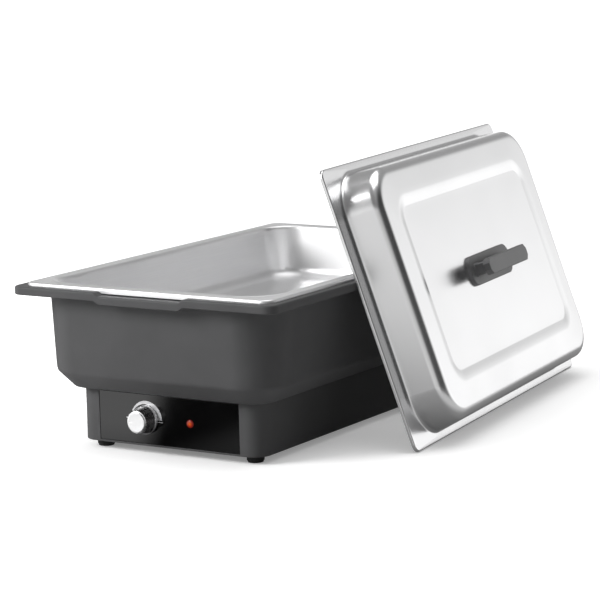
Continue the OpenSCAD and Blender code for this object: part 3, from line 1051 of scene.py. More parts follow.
# In the profiles below, small steps beside the named sizes are the points of rounded edges.
@dataclass
class Housing(SubAssembly):
    """Plastic water-bath tub with its rim, pan seat and finger dips, in millimetres."""

    rim: Outline = Outline(350.0, 555.0, 14.0)
    seat: Outline = Outline(326.5, 531.5, 12.75)
    wall: Outline = Outline(313.0, 518.0, 49.5)
    floor: Outline = Outline(265.0, 470.0, 25.5)
    floor_middle: Outline = Outline(120.0, 320.0, 12.0)
    rim_top: float = LEVELS.rim_top
    seat_top: float = LEVELS.seat_top
    plate_under: float = LEVELS.plate_under
    skirt_low: float = LEVELS.skirt
    bevel_top: float = LEVELS.bevel_top
    floor_low: float = LEVELS.floor
    wall_thick: float = 3.0
    draft: float = 4.0
    skirt_thick: float = 3.0
    edge: float = 2.2
    skirt_edge: float = 1.0
    under_round: float = 3.0
    dip_flat: float = 52.0
    dip_slope: float = 9.0
    dip_drop: float = 4.0
    dip_spans: int = 6
    dip_step: float = 0.1
    seat_band: Span = (-1.6, 0.2)
    seat_reach: float = 0.1
    rim_reach: float = 2.0
    rim_under: float = 1.0
    corner_steps: int = 12

    def inside(self) -> List[Section]:
        """Lists the rings from the inside floor up to the seat.

        Returns:
            The rings in order.
        """
        floor_high = self.floor_low + self.wall_thick
        low = self.draft + self.wall_thick
        bend = [(4.0, floor_high), (1.5, floor_high + 0.8)]
        wall = [
            (low + 1.5, self.bevel_top - 0.2),
            (low, self.bevel_top + 1.2),
            (low - 0.2, self.bevel_top + 4.5),
            (self.wall_thick + 0.3, self.seat_top - 1.4),
            (self.wall_thick, self.seat_top - 0.5),
            (self.wall_thick - 0.6, self.seat_top),
        ]
        return [self.floor_middle.ring(0.0, floor_high), *self.floor.rings(bend), *self.wall.rings(wall)]

    def over_rim(self) -> List[Section]:
        """Lists the rings from the seat over the rim and down its skirt.

        Returns:
            The rings in order.
        """
        step = [
            (0.5, self.seat_top),
            (0.0, self.seat_top + 0.4),
            (0.0, self.rim_top - 0.7),
            (-0.25, self.rim_top - 0.2),
            (-0.8, self.rim_top),
        ]
        skirt = [
            (self.edge + 0.6, self.rim_top),
            *arc((self.edge, self.rim_top - self.edge), self.edge, 90.0, 180.0, 5),
            *arc((self.skirt_edge, self.skirt_low + self.skirt_edge), self.skirt_edge, 180.0, 270.0, 3),
            (self.skirt_thick - 0.6, self.skirt_low),
            (self.skirt_thick, self.skirt_low + 0.6),
            (self.skirt_thick, self.plate_under - 1.0),
            (self.skirt_thick + 1.0, self.plate_under),
        ]
        return [*self.seat.rings(step), *self.rim.rings(skirt)]

    def outside(self) -> List[Section]:
        """Lists the rings from under the rim down the wall and round to the floor.

        Returns:
            The rings in order.
        """
        bend = self.under_round
        wall = [
            *arc((-bend, self.plate_under - bend), bend, 90.0, 8.0, 4),
            (self.draft - 0.35, self.bevel_top + 8.0),
            (self.draft + 0.1, self.bevel_top + 2.6),
            (self.draft + 0.8, self.bevel_top),
            (self.draft + 2.2, self.bevel_top - 2.0),
            (self.draft + 4.4, self.bevel_top - 4.2),
        ]
        floor = [
            (-4.0, self.floor_low + 4.0),
            (-1.4, self.floor_low + 1.4),
            (-0.2, self.floor_low + 0.5),
            (1.4, self.floor_low),
            (6.0, self.floor_low),
        ]
        return [*self.wall.rings(wall), *self.floor.rings(floor)]

    def drop_at(self, across: float) -> float:
        """Finds how far the rim dips.

        Args:
            across: Distance from the middle.

        Returns:
            Depth of the dip there.
        """
        share = (self.dip_flat + self.dip_slope - abs(across)) / self.dip_slope
        share = min(max(share, 0.0), 1.0)
        return self.dip_drop * share * share * (3.0 - 2.0 * share)

    def dip(self, bench: Bench) -> None:
        """Sinks a finger dip into the front and the back of the rim.

        Args:
            bench: Bench that holds the tub.
        """
        stops = [self.dip_flat + self.dip_slope * i / self.dip_spans for i in range(self.dip_spans + 1)]
        planes = sorted([-stop for stop in stops] + stops)
        for across in planes:
            bpy.ops.mesh.select_all(action="SELECT")
            bench.cut((across, 0.0, 0.0), ACROSS)
        # In the dip the seat ends a small step below the sunken rim.
        seat_share = (self.dip_drop - (self.rim_top - self.seat_top) + self.dip_step) / self.dip_drop
        inner_edge = self.wall.length / 2 - self.wall_thick - self.rim_reach
        seat_edge = self.seat.length / 2 + self.seat_reach
        seat_low, seat_high = (self.seat_top + part for part in self.seat_band)
        low = self.skirt_low - self.rim_under

        def on_cut(place: Vector, across: float) -> bool:
            """Tells whether a point of the rim lies on a cut."""
            return abs(place.x - across) < SAME_PLACE and abs(place.y) > inner_edge and place.z > low

        def on_seat(place: Vector) -> bool:
            """Tells whether a point of a cut belongs to the seat."""
            return abs(place.y) < seat_edge and seat_low < place.z < seat_high

        for across in planes:
            drop = self.drop_at(across)
            if drop <= 0.0:
                continue
            places = {vert.index: vert.co / MM for vert in bench.mesh().verts}
            points = {index for index, place in places.items() if on_cut(place, across)}
            seats = {index for index in points if on_seat(places[index])}
            bench.pick_points(seats)
            bench.shift((0.0, 0.0, -drop * seat_share))
            bench.pick_points(points - seats)
            bench.shift((0.0, 0.0, -drop))

    def build(self) -> bpy.types.Object:
        """Models the tub.

        Returns:
            The dressed tub.
        """
        bench = Bench("housing_tub")
        bench.loft([*self.inside(), *self.over_rim(), *self.outside()], self.corner_steps)
        bpy.ops.mesh.edge_face_add()
        self.dip(bench)
        bench.face_out()
        return self.dress(bench.leave(PLACE.dish()), Body.DISH, Slot.HOUSING, "tub_housing")


@dataclass
class Plinth(SubAssembly):
    """Hollow plinth under the tub, with a window for the control panel, in millimetres."""

    outline: Outline = Outline(245.0, 450.0, 20.0)
    low: float = LEVELS.gap
    high: float = LEVELS.floor
    wall_thick: float = 3.0
    edge: float = 0.8
    window_width: float = 189.3
    window_height: float = 57.3
    window_slack: float = 0.5
    corner_steps: int = 10

    def window(self, bench: Bench) -> None:
        """Cuts the panel window through the front wall.

        Args:
            bench: Bench that holds the plinth.
        """
        half = self.window_width / 2
        low = PLACE.axis_height - self.window_height / 2
        high = PLACE.axis_height + self.window_height / 2
        wall_back = self.wall_thick + self.window_slack - self.outline.length / 2

        def in_front_wall(middle: Vector, normal: Vector) -> bool:
            """Tells whether a face belongs to the upright front wall."""
            return abs(normal.y) > SQUARE_ON and middle.y < wall_back

        def in_window(middle: Vector, normal: Vector) -> bool:
            """Tells whether a face lies inside the window."""
            return in_front_wall(middle, normal) and abs(middle.x) < half and low < middle.z < high

        cuts = (
            ((half, 0.0, 0.0), ACROSS),
            ((-half, 0.0, 0.0), ACROSS),
            ((0.0, 0.0, low), UP),
            ((0.0, 0.0, high), UP),
        )
        for place, normal in cuts:
            bench.pick_faces(in_front_wall)
            bench.cut(place, normal)
        bench.pick_faces(in_window)
        bpy.ops.mesh.bridge_edge_loops()

    def build(self) -> bpy.types.Object:
        """Models the plinth.

        Returns:
            The dressed plinth.
        """
        chamfer = 0.3 * self.edge
        profile = [
            (self.wall_thick, self.low + self.edge / 2),
            (self.wall_thick - self.edge / 2, self.low),
            (self.edge, self.low),
            (chamfer, self.low + chamfer),
            (0.0, self.low + self.edge),
            (0.0, self.high - self.edge),
            (chamfer, self.high - chamfer),
            (self.edge, self.high),
            (self.wall_thick, self.high),
        ]
        bench = Bench("plinth_shell")
        bench.loft(self.outline.rings(profile), self.corner_steps, keep_face=False)
        bench.bridge_rims()
        bench.face_out()
        self.window(bench)
        bench.face_out()
        return self.dress(bench.leave(PLACE.dish()), Body.DISH, Slot.HOUSING, "base_plinth")


@dataclass
class Feet(SubAssembly):
    """Four rubber feet with sunk screw holes, in millimetres."""

    across: float = 101.5
    along: float = 204.0
    radius: float = 10.0
    height: float = LEVELS.gap + 2.0
    sole: float = 9.0
    hole: float = 4.4
    hole_depth: float = 3.0
    sides: int = 48

    def model(self) -> Bench:
        """Models one foot about its own axis.

        Returns:
            The bench that holds it.
        """
        bench = Bench("foot_pattern")
        bench.disc(self.hole, self.hole_depth, self.sides)
        bench.turn(
            [
                (self.hole, 0.5),
                (self.hole + 0.4, 0.1),
                (self.hole + 0.9, 0.0),
                (self.sole - 0.8, 0.0),
                (self.sole - 0.2, 0.2),
                (self.sole, 0.8),
                (self.sole, 1.7),
                (self.radius - 0.3, 2.1),
                (self.radius, 2.6),
                (self.radius, self.height - 0.5),
                (self.radius - 0.5, self.height),
                (self.radius - 3.0, self.height),
            ]
        )
        return bench

    def build(self) -> List[bpy.types.Object]:
        """Models a foot and copies it under each corner.

        Returns:
            The dressed feet.
        """
        made = []
        pattern = self.model()
        for row, along in (("front", -1.0), ("back", 1.0)):
            for side, across in (("left", -1.0), ("right", 1.0)):
                node = f"foot_{row}_{side}"
                spot = Vector((across * self.across, along * self.along, 0.0)) * MM
                piece = pattern.copy(f"rubber_{node}").leave(PLACE.dish() @ Matrix.Translation(spot))
                made.append(self.dress(piece, Body.DISH, Slot.FOOT, node))
        bpy.data.objects.remove(pattern.piece)
        return made


@dataclass
class ControlPanel(SubAssembly):
    """Gloss panel with its pilot lens, in millimetres."""

    width: float = 189.0
    height: float = 57.0
    thick: float = 2.5
    edge: float = 0.5
    edge_steps: int = 3
    border: float = 0.4
    pilot_across: float = 29.0
    lens_radius: float = 4.75
    lens_height: float = 1.2
    lens_rise: float = 0.65
    lens_middle: float = 0.6
    lens_angles: Tuple[float, ...] = (0.35, 0.6, 0.85, 1.1, 1.35)
    collar: float = 0.5
    body_radius: float = 4.0
    sides: int = 48

    def plate(self) -> bpy.types.Object:
        """Models the panel plate.

        Returns:
            The dressed plate.
        """
        bench = Bench("panel_plate")
        size = (self.width, self.height, self.thick)
        bench.block(size, (0.0, 0.0, -self.thick / 2), self.edge, self.edge_steps)
        bench.pick_faces(lambda middle, normal: normal.z > SQUARE_ON)
        bpy.ops.mesh.inset(thickness=self.border * MM)
        bench.face_out()
        return self.dress(bench.leave(PLACE.panel(0.0)), Body.DISH, Slot.PANEL, "control_panel")

    def lens(self) -> bpy.types.Object:
        """Models the pilot lens as a low dome with a collar.

        Returns:
            The dressed lens.
        """
        bench = Bench("pilot_dome")
        bench.disc(self.lens_middle, self.lens_height, self.sides)
        radius = self.body_radius
        rise = self.lens_rise
        base = self.lens_height - rise
        bench.turn(
            [
                *((radius * math.sin(a), base + rise * math.cos(a)) for a in self.lens_angles),
                (radius + 0.05, self.collar),
                (self.lens_radius - self.collar / 2, self.collar),
                (self.lens_radius, self.collar / 2),
                (self.lens_radius, 0.0),
                (radius, 0.0),
                (radius, -self.thick),
            ]
        )
        return self.dress(bench.leave(PLACE.panel(self.pilot_across)), Body.DISH, Slot.LENS, "pilot_lens")

    def build(self) -> List[bpy.types.Object]:
        """Models the panel's pieces and returns them."""
        return [self.plate(), self.lens()]


@dataclass
class Knob(SubAssembly):
    """Chromed dial knob with a bright face disc, in millimetres."""

    across: float = -30.0
    skirt_radius: float = 16.5
    skirt_high: float = 5.0
    body_radius: float = 15.5
    front_radius: float = 13.0
    body_high: float = 19.5
    low: float = 0.8
    hollow_radius: float = 10.5
    hollow_high: float = 9.0
    shaft_radius: float = 3.05
    front_wall: float = 2.0
    face_radius: float = 11.3
    face_inner: float = 8.0
    face_middle: float = 3.0
    face_high: float = 21.0
    face_dish: float = 0.25
    pointer: Triple = (5.0, 1.1, 1.0)
    pointer_middle: float = -7.6
    pointer_raise: float = 0.15
    pointer_edge: float = 0.3
    pointer_steps: int = 2
    sides: int = 96

    def body(self) -> bpy.types.Object:
        """Models the knob's hollow body.

        Returns:
            The dressed body.
        """
        bench = Bench("knob_shell")
        bench.disc(self.front_radius - 1.4, self.body_high, self.sides)
        bench.turn(
            [
                (self.front_radius - 0.7, self.body_high),
                (self.front_radius - 0.2, self.body_high - 0.2),
                (self.front_radius, self.body_high - 0.7),
                (self.body_radius - 0.7, self.skirt_high + 3.4),
                (self.body_radius - 0.2, self.skirt_high + 1.2),
                (self.body_radius + 0.1, self.skirt_high + 0.3),
                (self.body_radius + 0.4, self.skirt_high),
                (self.skirt_radius - 0.4, self.skirt_high - 0.1),
                (self.skirt_radius, self.skirt_high - 0.6),
                (self.skirt_radius, self.low + 0.5),
                (self.skirt_radius - 0.5, self.low),
                (self.hollow_radius + 0.4, self.low),
                (self.hollow_radius, self.low + 0.4),
                (self.hollow_radius, self.hollow_high - 0.4),
                (self.hollow_radius - 0.4, self.hollow_high),
                (self.shaft_radius, self.hollow_high),
                (self.shaft_radius, self.body_high - self.front_wall),
            ]
        )
        return self.dress(bench.leave(PLACE.panel(self.across)), Body.KNOB, Slot.KNOB_CHROME, "knob_body")

    def face(self) -> bpy.types.Object:
        """Models the bright face disc with its engraved pointer.

        Returns:
            The dressed disc.
        """
        bench = Bench("knob_face_disc")
        bench.disc(self.face_middle, self.face_high - self.face_dish, self.sides)
        bench.turn(
            [
                (self.face_inner, self.face_high - 0.6 * self.face_dish),
                (self.face_radius - 0.9, self.face_high),
                (self.face_radius - 0.35, self.face_high - 0.06),
                (self.face_radius, self.face_high - 0.4),
                (self.face_radius, self.body_high),
            ]
        )
        cutter = Bench("pointer_cutter")
        middle = (self.pointer_middle, 0.0, self.face_high + self.pointer_raise)
        cutter.block(self.pointer, middle, self.pointer_edge, self.pointer_steps)
        bench.subtract(cutter)
        return self.dress(bench.leave(PLACE.panel(self.across)), Body.KNOB, Slot.KNOB_FACE, "knob_cap")

    def build(self) -> List[bpy.types.Object]:
        """Models the knob's pieces and returns them."""
        return [self.body(), self.face()]


@dataclass
class FoodPan(SubAssembly):
    """Pressed steel food pan, modelled by its inner and upper face, in millimetres."""

    flange: Outline = Outline(325.0, 530.0, 12.0)
    mouth: Outline = Outline(295.6, 500.6, 40.8)
    floor_middle: Outline = Outline(60.0, 220.0, 10.0)
    flange_top: float = LEVELS.flange
    hem_low: float = LEVELS.seat_top
    floor_high: float = LEVELS.pan_floor
    floor_swell: float = 0.5
    floor_round: float = 15.0
    draft: float = 4.0
    lip_round: float = 3.0
    edge_round: float = 1.8
    bead: float = 0.7
    bead_points: Tuple[Point, ...] = (
        (0.8, 0.45), (1.8, 0.9), (2.6, 1.0), (3.4, 0.9), (4.4, 0.35), (5.4, 0.0)
    )
    sheet: float = 1.2
    corner_steps: int = 16

    def profile(self) -> List[Section]:
        """Lists the rings from the middle of the floor to the turned-down edge.

        Returns:
            The rings in order.
        """
        bend = self.floor_round
        lip = self.lip_round
        edge = self.edge_round
        mouth = [
            (60.0, self.floor_high + 0.8 * self.floor_swell),
            (self.draft + bend + 8.0, self.floor_high + 0.02),
            *arc((self.draft + bend, self.floor_high + bend), bend, 270.0, 184.0, 7),
            (self.draft / 2, (self.floor_high + self.flange_top) / 2 + 8.0),
            (0.4, self.flange_top - lip - 2.0),
            *arc((-lip, self.flange_top - lip), lip, 0.0, 90.0, 5),
            *((-lip - out, self.flange_top + share * self.bead) for out, share in self.bead_points),
        ]
        flange = [
            (2.6, self.flange_top),
            *arc((edge, self.flange_top - edge), edge, 90.0, 180.0, 5),
            (0.0, self.hem_low),
        ]
        middle = self.floor_middle.ring(0.0, self.floor_high + self.floor_swell)
        return [middle, *self.mouth.rings(mouth), *self.flange.rings(flange)]

    def build(self) -> bpy.types.Object:
        """Models the pan.

        Returns:
            The dressed pan.
        """
        bench = Bench("pan_pressing")
        bench.loft(self.profile(), self.corner_steps)
        bench.face_out(inward=True)
        bench.thicken(self.sheet)
        return self.dress(bench.leave(PLACE.dish()), Body.PAN, Slot.PAN, "food_pan")


@dataclass
class Lid(SubAssembly):
    """Pressed steel lid, modelled by its outer face, in millimetres."""

    flange: Outline = Outline(333.0, 538.0, 10.0)
    dome: Outline = Outline(309.0, 494.0, 50.0)
    field: Outline = Outline(203.0, 388.0, 20.0)
    field_middle: Outline = Outline(40.0, 140.0, 8.0)
    field_inner: Outline = Outline(80.0, 220.0, 12.0)
    field_top: float = 44.5
    field_swell: float = 0.2
    step_points: Tuple[Point, ...] = (
        (3.2, 0.0), (2.0, 0.08), (-1.0, 0.36), (-5.0, 0.7), (-9.0, 0.93), (-12.0, 1.0)
    )
    crown: float = 46.0
    crown_swell: float = 0.8
    flange_fall: float = 0.3
    shoulder: float = 12.0
    lean: float = 4.0
    foot_round: float = 4.0
    edge_round: float = 1.4
    hem_low: float = -3.0
    sheet: float = 1.2
    corner_steps: int = 18

    def sunk_field(self) -> List[Section]:
        """Lists the rings from the middle of the sunk field up to the crown.

        Returns:
            The rings in order.
        """
        low = self.field_top - self.field_swell
        step = self.crown - low
        slope = [
            (30.0, self.field_top - 0.45 * self.field_swell),
            (14.0, self.field_top - 0.8 * self.field_swell),
            *((inset, low + share * step) for inset, share in self.step_points),
            (-18.0, self.crown - 0.3 * self.crown_swell),
        ]
        return [
            self.field_middle.ring(0.0, self.field_top),
            self.field_inner.ring(0.0, self.field_top - 0.12 * self.field_swell),
            *self.field.rings(slope),
        ]

    def walls(self) -> List[Section]:
        """Lists the rings from the crown's edge down the wall to the turned-down edge.

        Returns:
            The rings in order.
        """
        bend = self.shoulder
        foot = self.foot_round
        edge = self.edge_round
        crown_edge = self.crown - self.crown_swell
        flange_edge = self.sheet - self.flange_fall
        wall = [
            (self.lean + bend + 2.0, crown_edge + 0.08),
            *arc((self.lean + bend, crown_edge - bend), bend, 90.0, 173.0, 10),
            (self.lean * 0.6, self.crown * 0.45),
            *arc((0.6 - foot, self.sheet + foot), foot, 6.0, -90.0, 6),
            (-foot - 1.6, self.sheet),
        ]
        flange = [
            (2.4, flange_edge + 0.05),
            *arc((edge, flange_edge - edge), edge, 90.0, 180.0, 4),
            (0.0, self.hem_low + 0.3),
            (0.2, self.hem_low),
        ]
        return [*self.dome.rings(wall), *self.flange.rings(flange)]

    def build(self) -> bpy.types.Object:
        """Models the lid.

        Returns:
            The dressed lid.
        """
        bench = Bench("lid_pressing")
        bench.loft([*self.sunk_field(), *self.walls()], self.corner_steps)
        bench.face_out()
        bench.thicken(self.sheet)
        return self.dress(bench.leave(PLACE.lid()), Body.LID, Slot.LID, "lid_shell")


@dataclass
class LidHandle(SubAssembly):
    """Plastic bar handle on a base plate, in millimetres above the lid flange."""

    base: Outline = Outline(36.0, 132.0, 14.0)
    bar: Outline = Outline(20.0, 127.0, 6.0)
    post: Outline = Outline(15.0, 16.0, 3.0)
    base_low: float = 44.5
    base_high: float = 48.5
    base_edge: float = 1.3
    bar_low: float = 63.5
    bar_high: float = 72.5
    bar_edge: float = 0.5
    post_apart: float = 90.0
    base_steps: int = 10
    bar_steps: int = 1
    post_steps: int = 4

    def plate(self) -> bpy.types.Object:
        """Models the base plate.

        Returns:
            The dressed plate.
        """
        edge = self.base_edge
        profile = [
            (3.0, self.base_high),
            *arc((edge, self.base_high - edge), edge, 90.0, 180.0, 4),
            (0.0, self.base_low),
        ]
        bench = Bench("handle_plate")
        bench.loft(self.base.rings(profile), self.base_steps)
        bench.close()
        return self.dress(bench.leave(PLACE.lid()), Body.LID, Slot.HANDLE, "handle_base")

    def near_post(self) -> Bench:
        """Models the post at the near end of the bar.

        Returns:
            The bench that holds it.
        """
        profile = [
            (0.0, self.bar_low + 1.0),
            (0.0, self.base_high + 2.0),
            (-0.4, self.base_high + 0.7),
            (-1.2, self.base_high),
        ]
        bench = Bench("near_post")
        bench.loft(self.post.rings(profile), self.post_steps)
        bench.close()
        bench.shift((0.0, -self.post_apart / 2, 0.0))
        return bench

    def grip(self) -> bpy.types.Object:
        """Models the bar with its two posts.

        Returns:
            The dressed grip.
        """
        profile = [
            (1.8, self.bar_high),
            (1.0, self.bar_high),
            (0.3, self.bar_high - 0.3),
            (0.0, self.bar_high - 1.0),
            (0.0, self.bar_low + 2.0),
            (0.4, self.bar_low + 0.6),
            (1.4, self.bar_low),
            (2.4, self.bar_low),
        ]
        bench = Bench("handle_bar")
        bench.loft(self.bar.rings(profile), self.bar_steps)
        bench.close()
        near = self.near_post()
        far = near.copy("far_post")
        far.piece.location.y += self.post_apart * MM
        bench.absorb(near)
        bench.absorb(far)
        bench.soften(self.bar_edge)
        return self.dress(bench.leave(PLACE.lid()), Body.LID, Slot.HANDLE, "handle_grip")

    def build(self) -> List[bpy.types.Object]:
        """Models the handle's pieces and returns them."""
        return [self.plate(), self.grip()]


@dataclass
class HeatingRod(SubAssembly):
    """Bent heating rod in the water bath, in millimetres."""

    radius: float = 4.0
    leg_across: float = 60.0
    leg_along: float = -150.0
    leg_low: float = LEVELS.floor - 18.0
    level: float = LEVELS.floor + 16.0
    far: float = 130.0
    bend: float = 12.0
    wide_bend: float = 34.0
    sides: int = 20
    bend_steps: int = 8

    @staticmethod
    def run(step: Triple) -> None:
        """Extends the rod straight by a step."""
        bpy.ops.mesh.extrude_edges_move()
        Bench.shift(step)

    def curve(self, centre: Triple, axis: Triple) -> None:
        """Bends the rod through a quarter turn about a centre and axis."""
        spot = tuple(part * MM for part in centre)
        bpy.ops.mesh.spin(steps=self.bend_steps, angle=math.pi / 2, center=spot, axis=axis)

    def build(self) -> bpy.types.Object:
        """Models the rod, leg by leg round its loop.

        Returns:
            The dressed rod.
        """
        bench = Bench("heating_rod")
        bench.disc(self.radius, 0.0, self.sides)
        bench.shift((-self.leg_across, self.leg_along, self.leg_low))
        bpy.ops.mesh.select_mode(type="EDGE")
        turn_level = self.level - self.bend
        turn_along = self.leg_along + self.bend
        corner_across = self.leg_across - self.wide_bend
        corner_along = self.far - self.wide_bend
        rise = turn_level - self.leg_low
        reach = corner_along - turn_along
        self.run((0.0, 0.0, rise))
        self.curve((-self.leg_across, turn_along, turn_level), ACROSS)
        self.run((0.0, reach, 0.0))
        self.curve((-corner_across, corner_along, self.level), UP)
        self.run((2 * corner_across, 0.0, 0.0))
        self.curve((corner_across, corner_along, self.level), UP)
        self.run((0.0, -reach, 0.0))
        self.curve((self.leg_across, turn_along, turn_level), ACROSS)
        self.run((0.0, 0.0, -rise))
        bench.close()
        return self.dress(bench.leave(PLACE.dish()), Body.DISH, Slot.ELEMENT, "heater_element")


@dataclass
class Finishes:
    """The finish of every material slot."""

    glow_out: float = 0.8

    @staticmethod
    def spot(across: float, out: float) -> Triple:
        """Returns a place in front of the panel in metres, at a distance across and out of it."""
        return tuple(PLACE.panel(across) @ Vector((0.0, 0.0, out * MM)))

    def table(self) -> Dict[Slot, Finish]:
        """Chooses the finishes.

        Returns:
            The finish for each slot.
        """
        knob = self.spot(Knob.across, Knob.face_high)
        pilot = self.spot(ControlPanel.pilot_across, self.glow_out)
        return {
            Slot.HOUSING: Moulded((0.085, 0.085, 0.087), 0.55, 1700.0, 0.025, 0.05, 0.2),
            Slot.HANDLE: Moulded((0.155, 0.155, 0.158), 0.4, 1900.0, 0.025, 0.05, 0.7),
            Slot.FOOT: Moulded((0.02, 0.02, 0.02), 0.72, 900.0, 0.05, 0.1, 0.35),
            Slot.BLACK: Moulded((0.025, 0.025, 0.026), 0.45, 1600.0, 0.04, 0.06, 0.5),
            Slot.INNER: Moulded((0.72, 0.69, 0.6), 0.45, 1400.0, 0.03, 0.04, 0.5),
            Slot.GASKET: Moulded((0.42, 0.09, 0.06), 0.62, 1100.0, 0.03, 0.08, 0.4),
            Slot.WIRE_BROWN: Moulded((0.13, 0.05, 0.02), 0.4, 900.0, 0.02, 0.06, 0.5),
            Slot.WIRE_BLACK: Moulded((0.02, 0.02, 0.02), 0.4, 900.0, 0.02, 0.06, 0.5),
            Slot.WIRE_BLUE: Moulded((0.02, 0.06, 0.32), 0.4, 900.0, 0.02, 0.06, 0.5),
            Slot.WIRE_GREEN: Moulded((0.1, 0.3, 0.04), 0.4, 900.0, 0.02, 0.06, 0.5),
            Slot.PANEL: GlossPanel((0.0012, 0.0012, 0.0014), 0.08, 0.6),
            Slot.PRINT: Printed((0.72, 0.72, 0.73)),
            Slot.LENS: LitLens((0.85, 0.13, 0.02), (0.3, 0.014, 0.005), pilot, 0.0052, 0.7),
            Slot.KNOB_CHROME: PlainMetal((0.7, 0.7, 0.71), 0.27),
            Slot.KNOB_FACE: TurnedFace((0.9, 0.9, 0.905), 0.47, knob),
            Slot.PAN: BrushedSteel((0.77, 0.77, 0.775), 0.44, 0.0, 0.0003, 0.02),
            Slot.LID: BrushedSteel((0.78, 0.78, 0.785), 0.23, PLACE.lid_yaw, 0.0008, 0.02),
            Slot.FASTENER: PlainMetal((0.62, 0.62, 0.63), 0.3),
            Slot.COVER: PlainMetal((0.5, 0.51, 0.52), 0.42),
            Slot.ELEMENT: PlainMetal((0.36, 0.34, 0.31), 0.4),
            Slot.BRASS: PlainMetal((0.7, 0.52, 0.2), 0.3),
            Slot.COPPER: PlainMetal((0.75, 0.36, 0.2), 0.32),
        }

    def dress(self) -> None:
        """Builds every finish in the material of its slot."""
        for slot, finish in self.table().items():
            finish.dress(slot)
            LOG.info("finish %s: %s", slot.value, type(finish).__name__)


@dataclass(frozen=True)
class Lamp:
    """A square soft lamp; lengths in metres, power in watts."""

    name: str
    place: Triple
    aim: Triple
    size: float
    power: float

    def hang(self) -> None:
        """Adds the lamp to the scene, turned to what it lights."""
        data = bpy.data.lights.new(self.name, "AREA")
        data.shape = "SQUARE"
        data.size = self.size
        data.energy = self.power
        lamp = bpy.data.objects.new(self.name, data)
        bpy.context.scene.collection.objects.link(lamp)
        lamp.location = self.place
        lamp.rotation_euler = (Vector(self.aim) - Vector(self.place)).to_track_quat("-Z", "Y").to_euler()


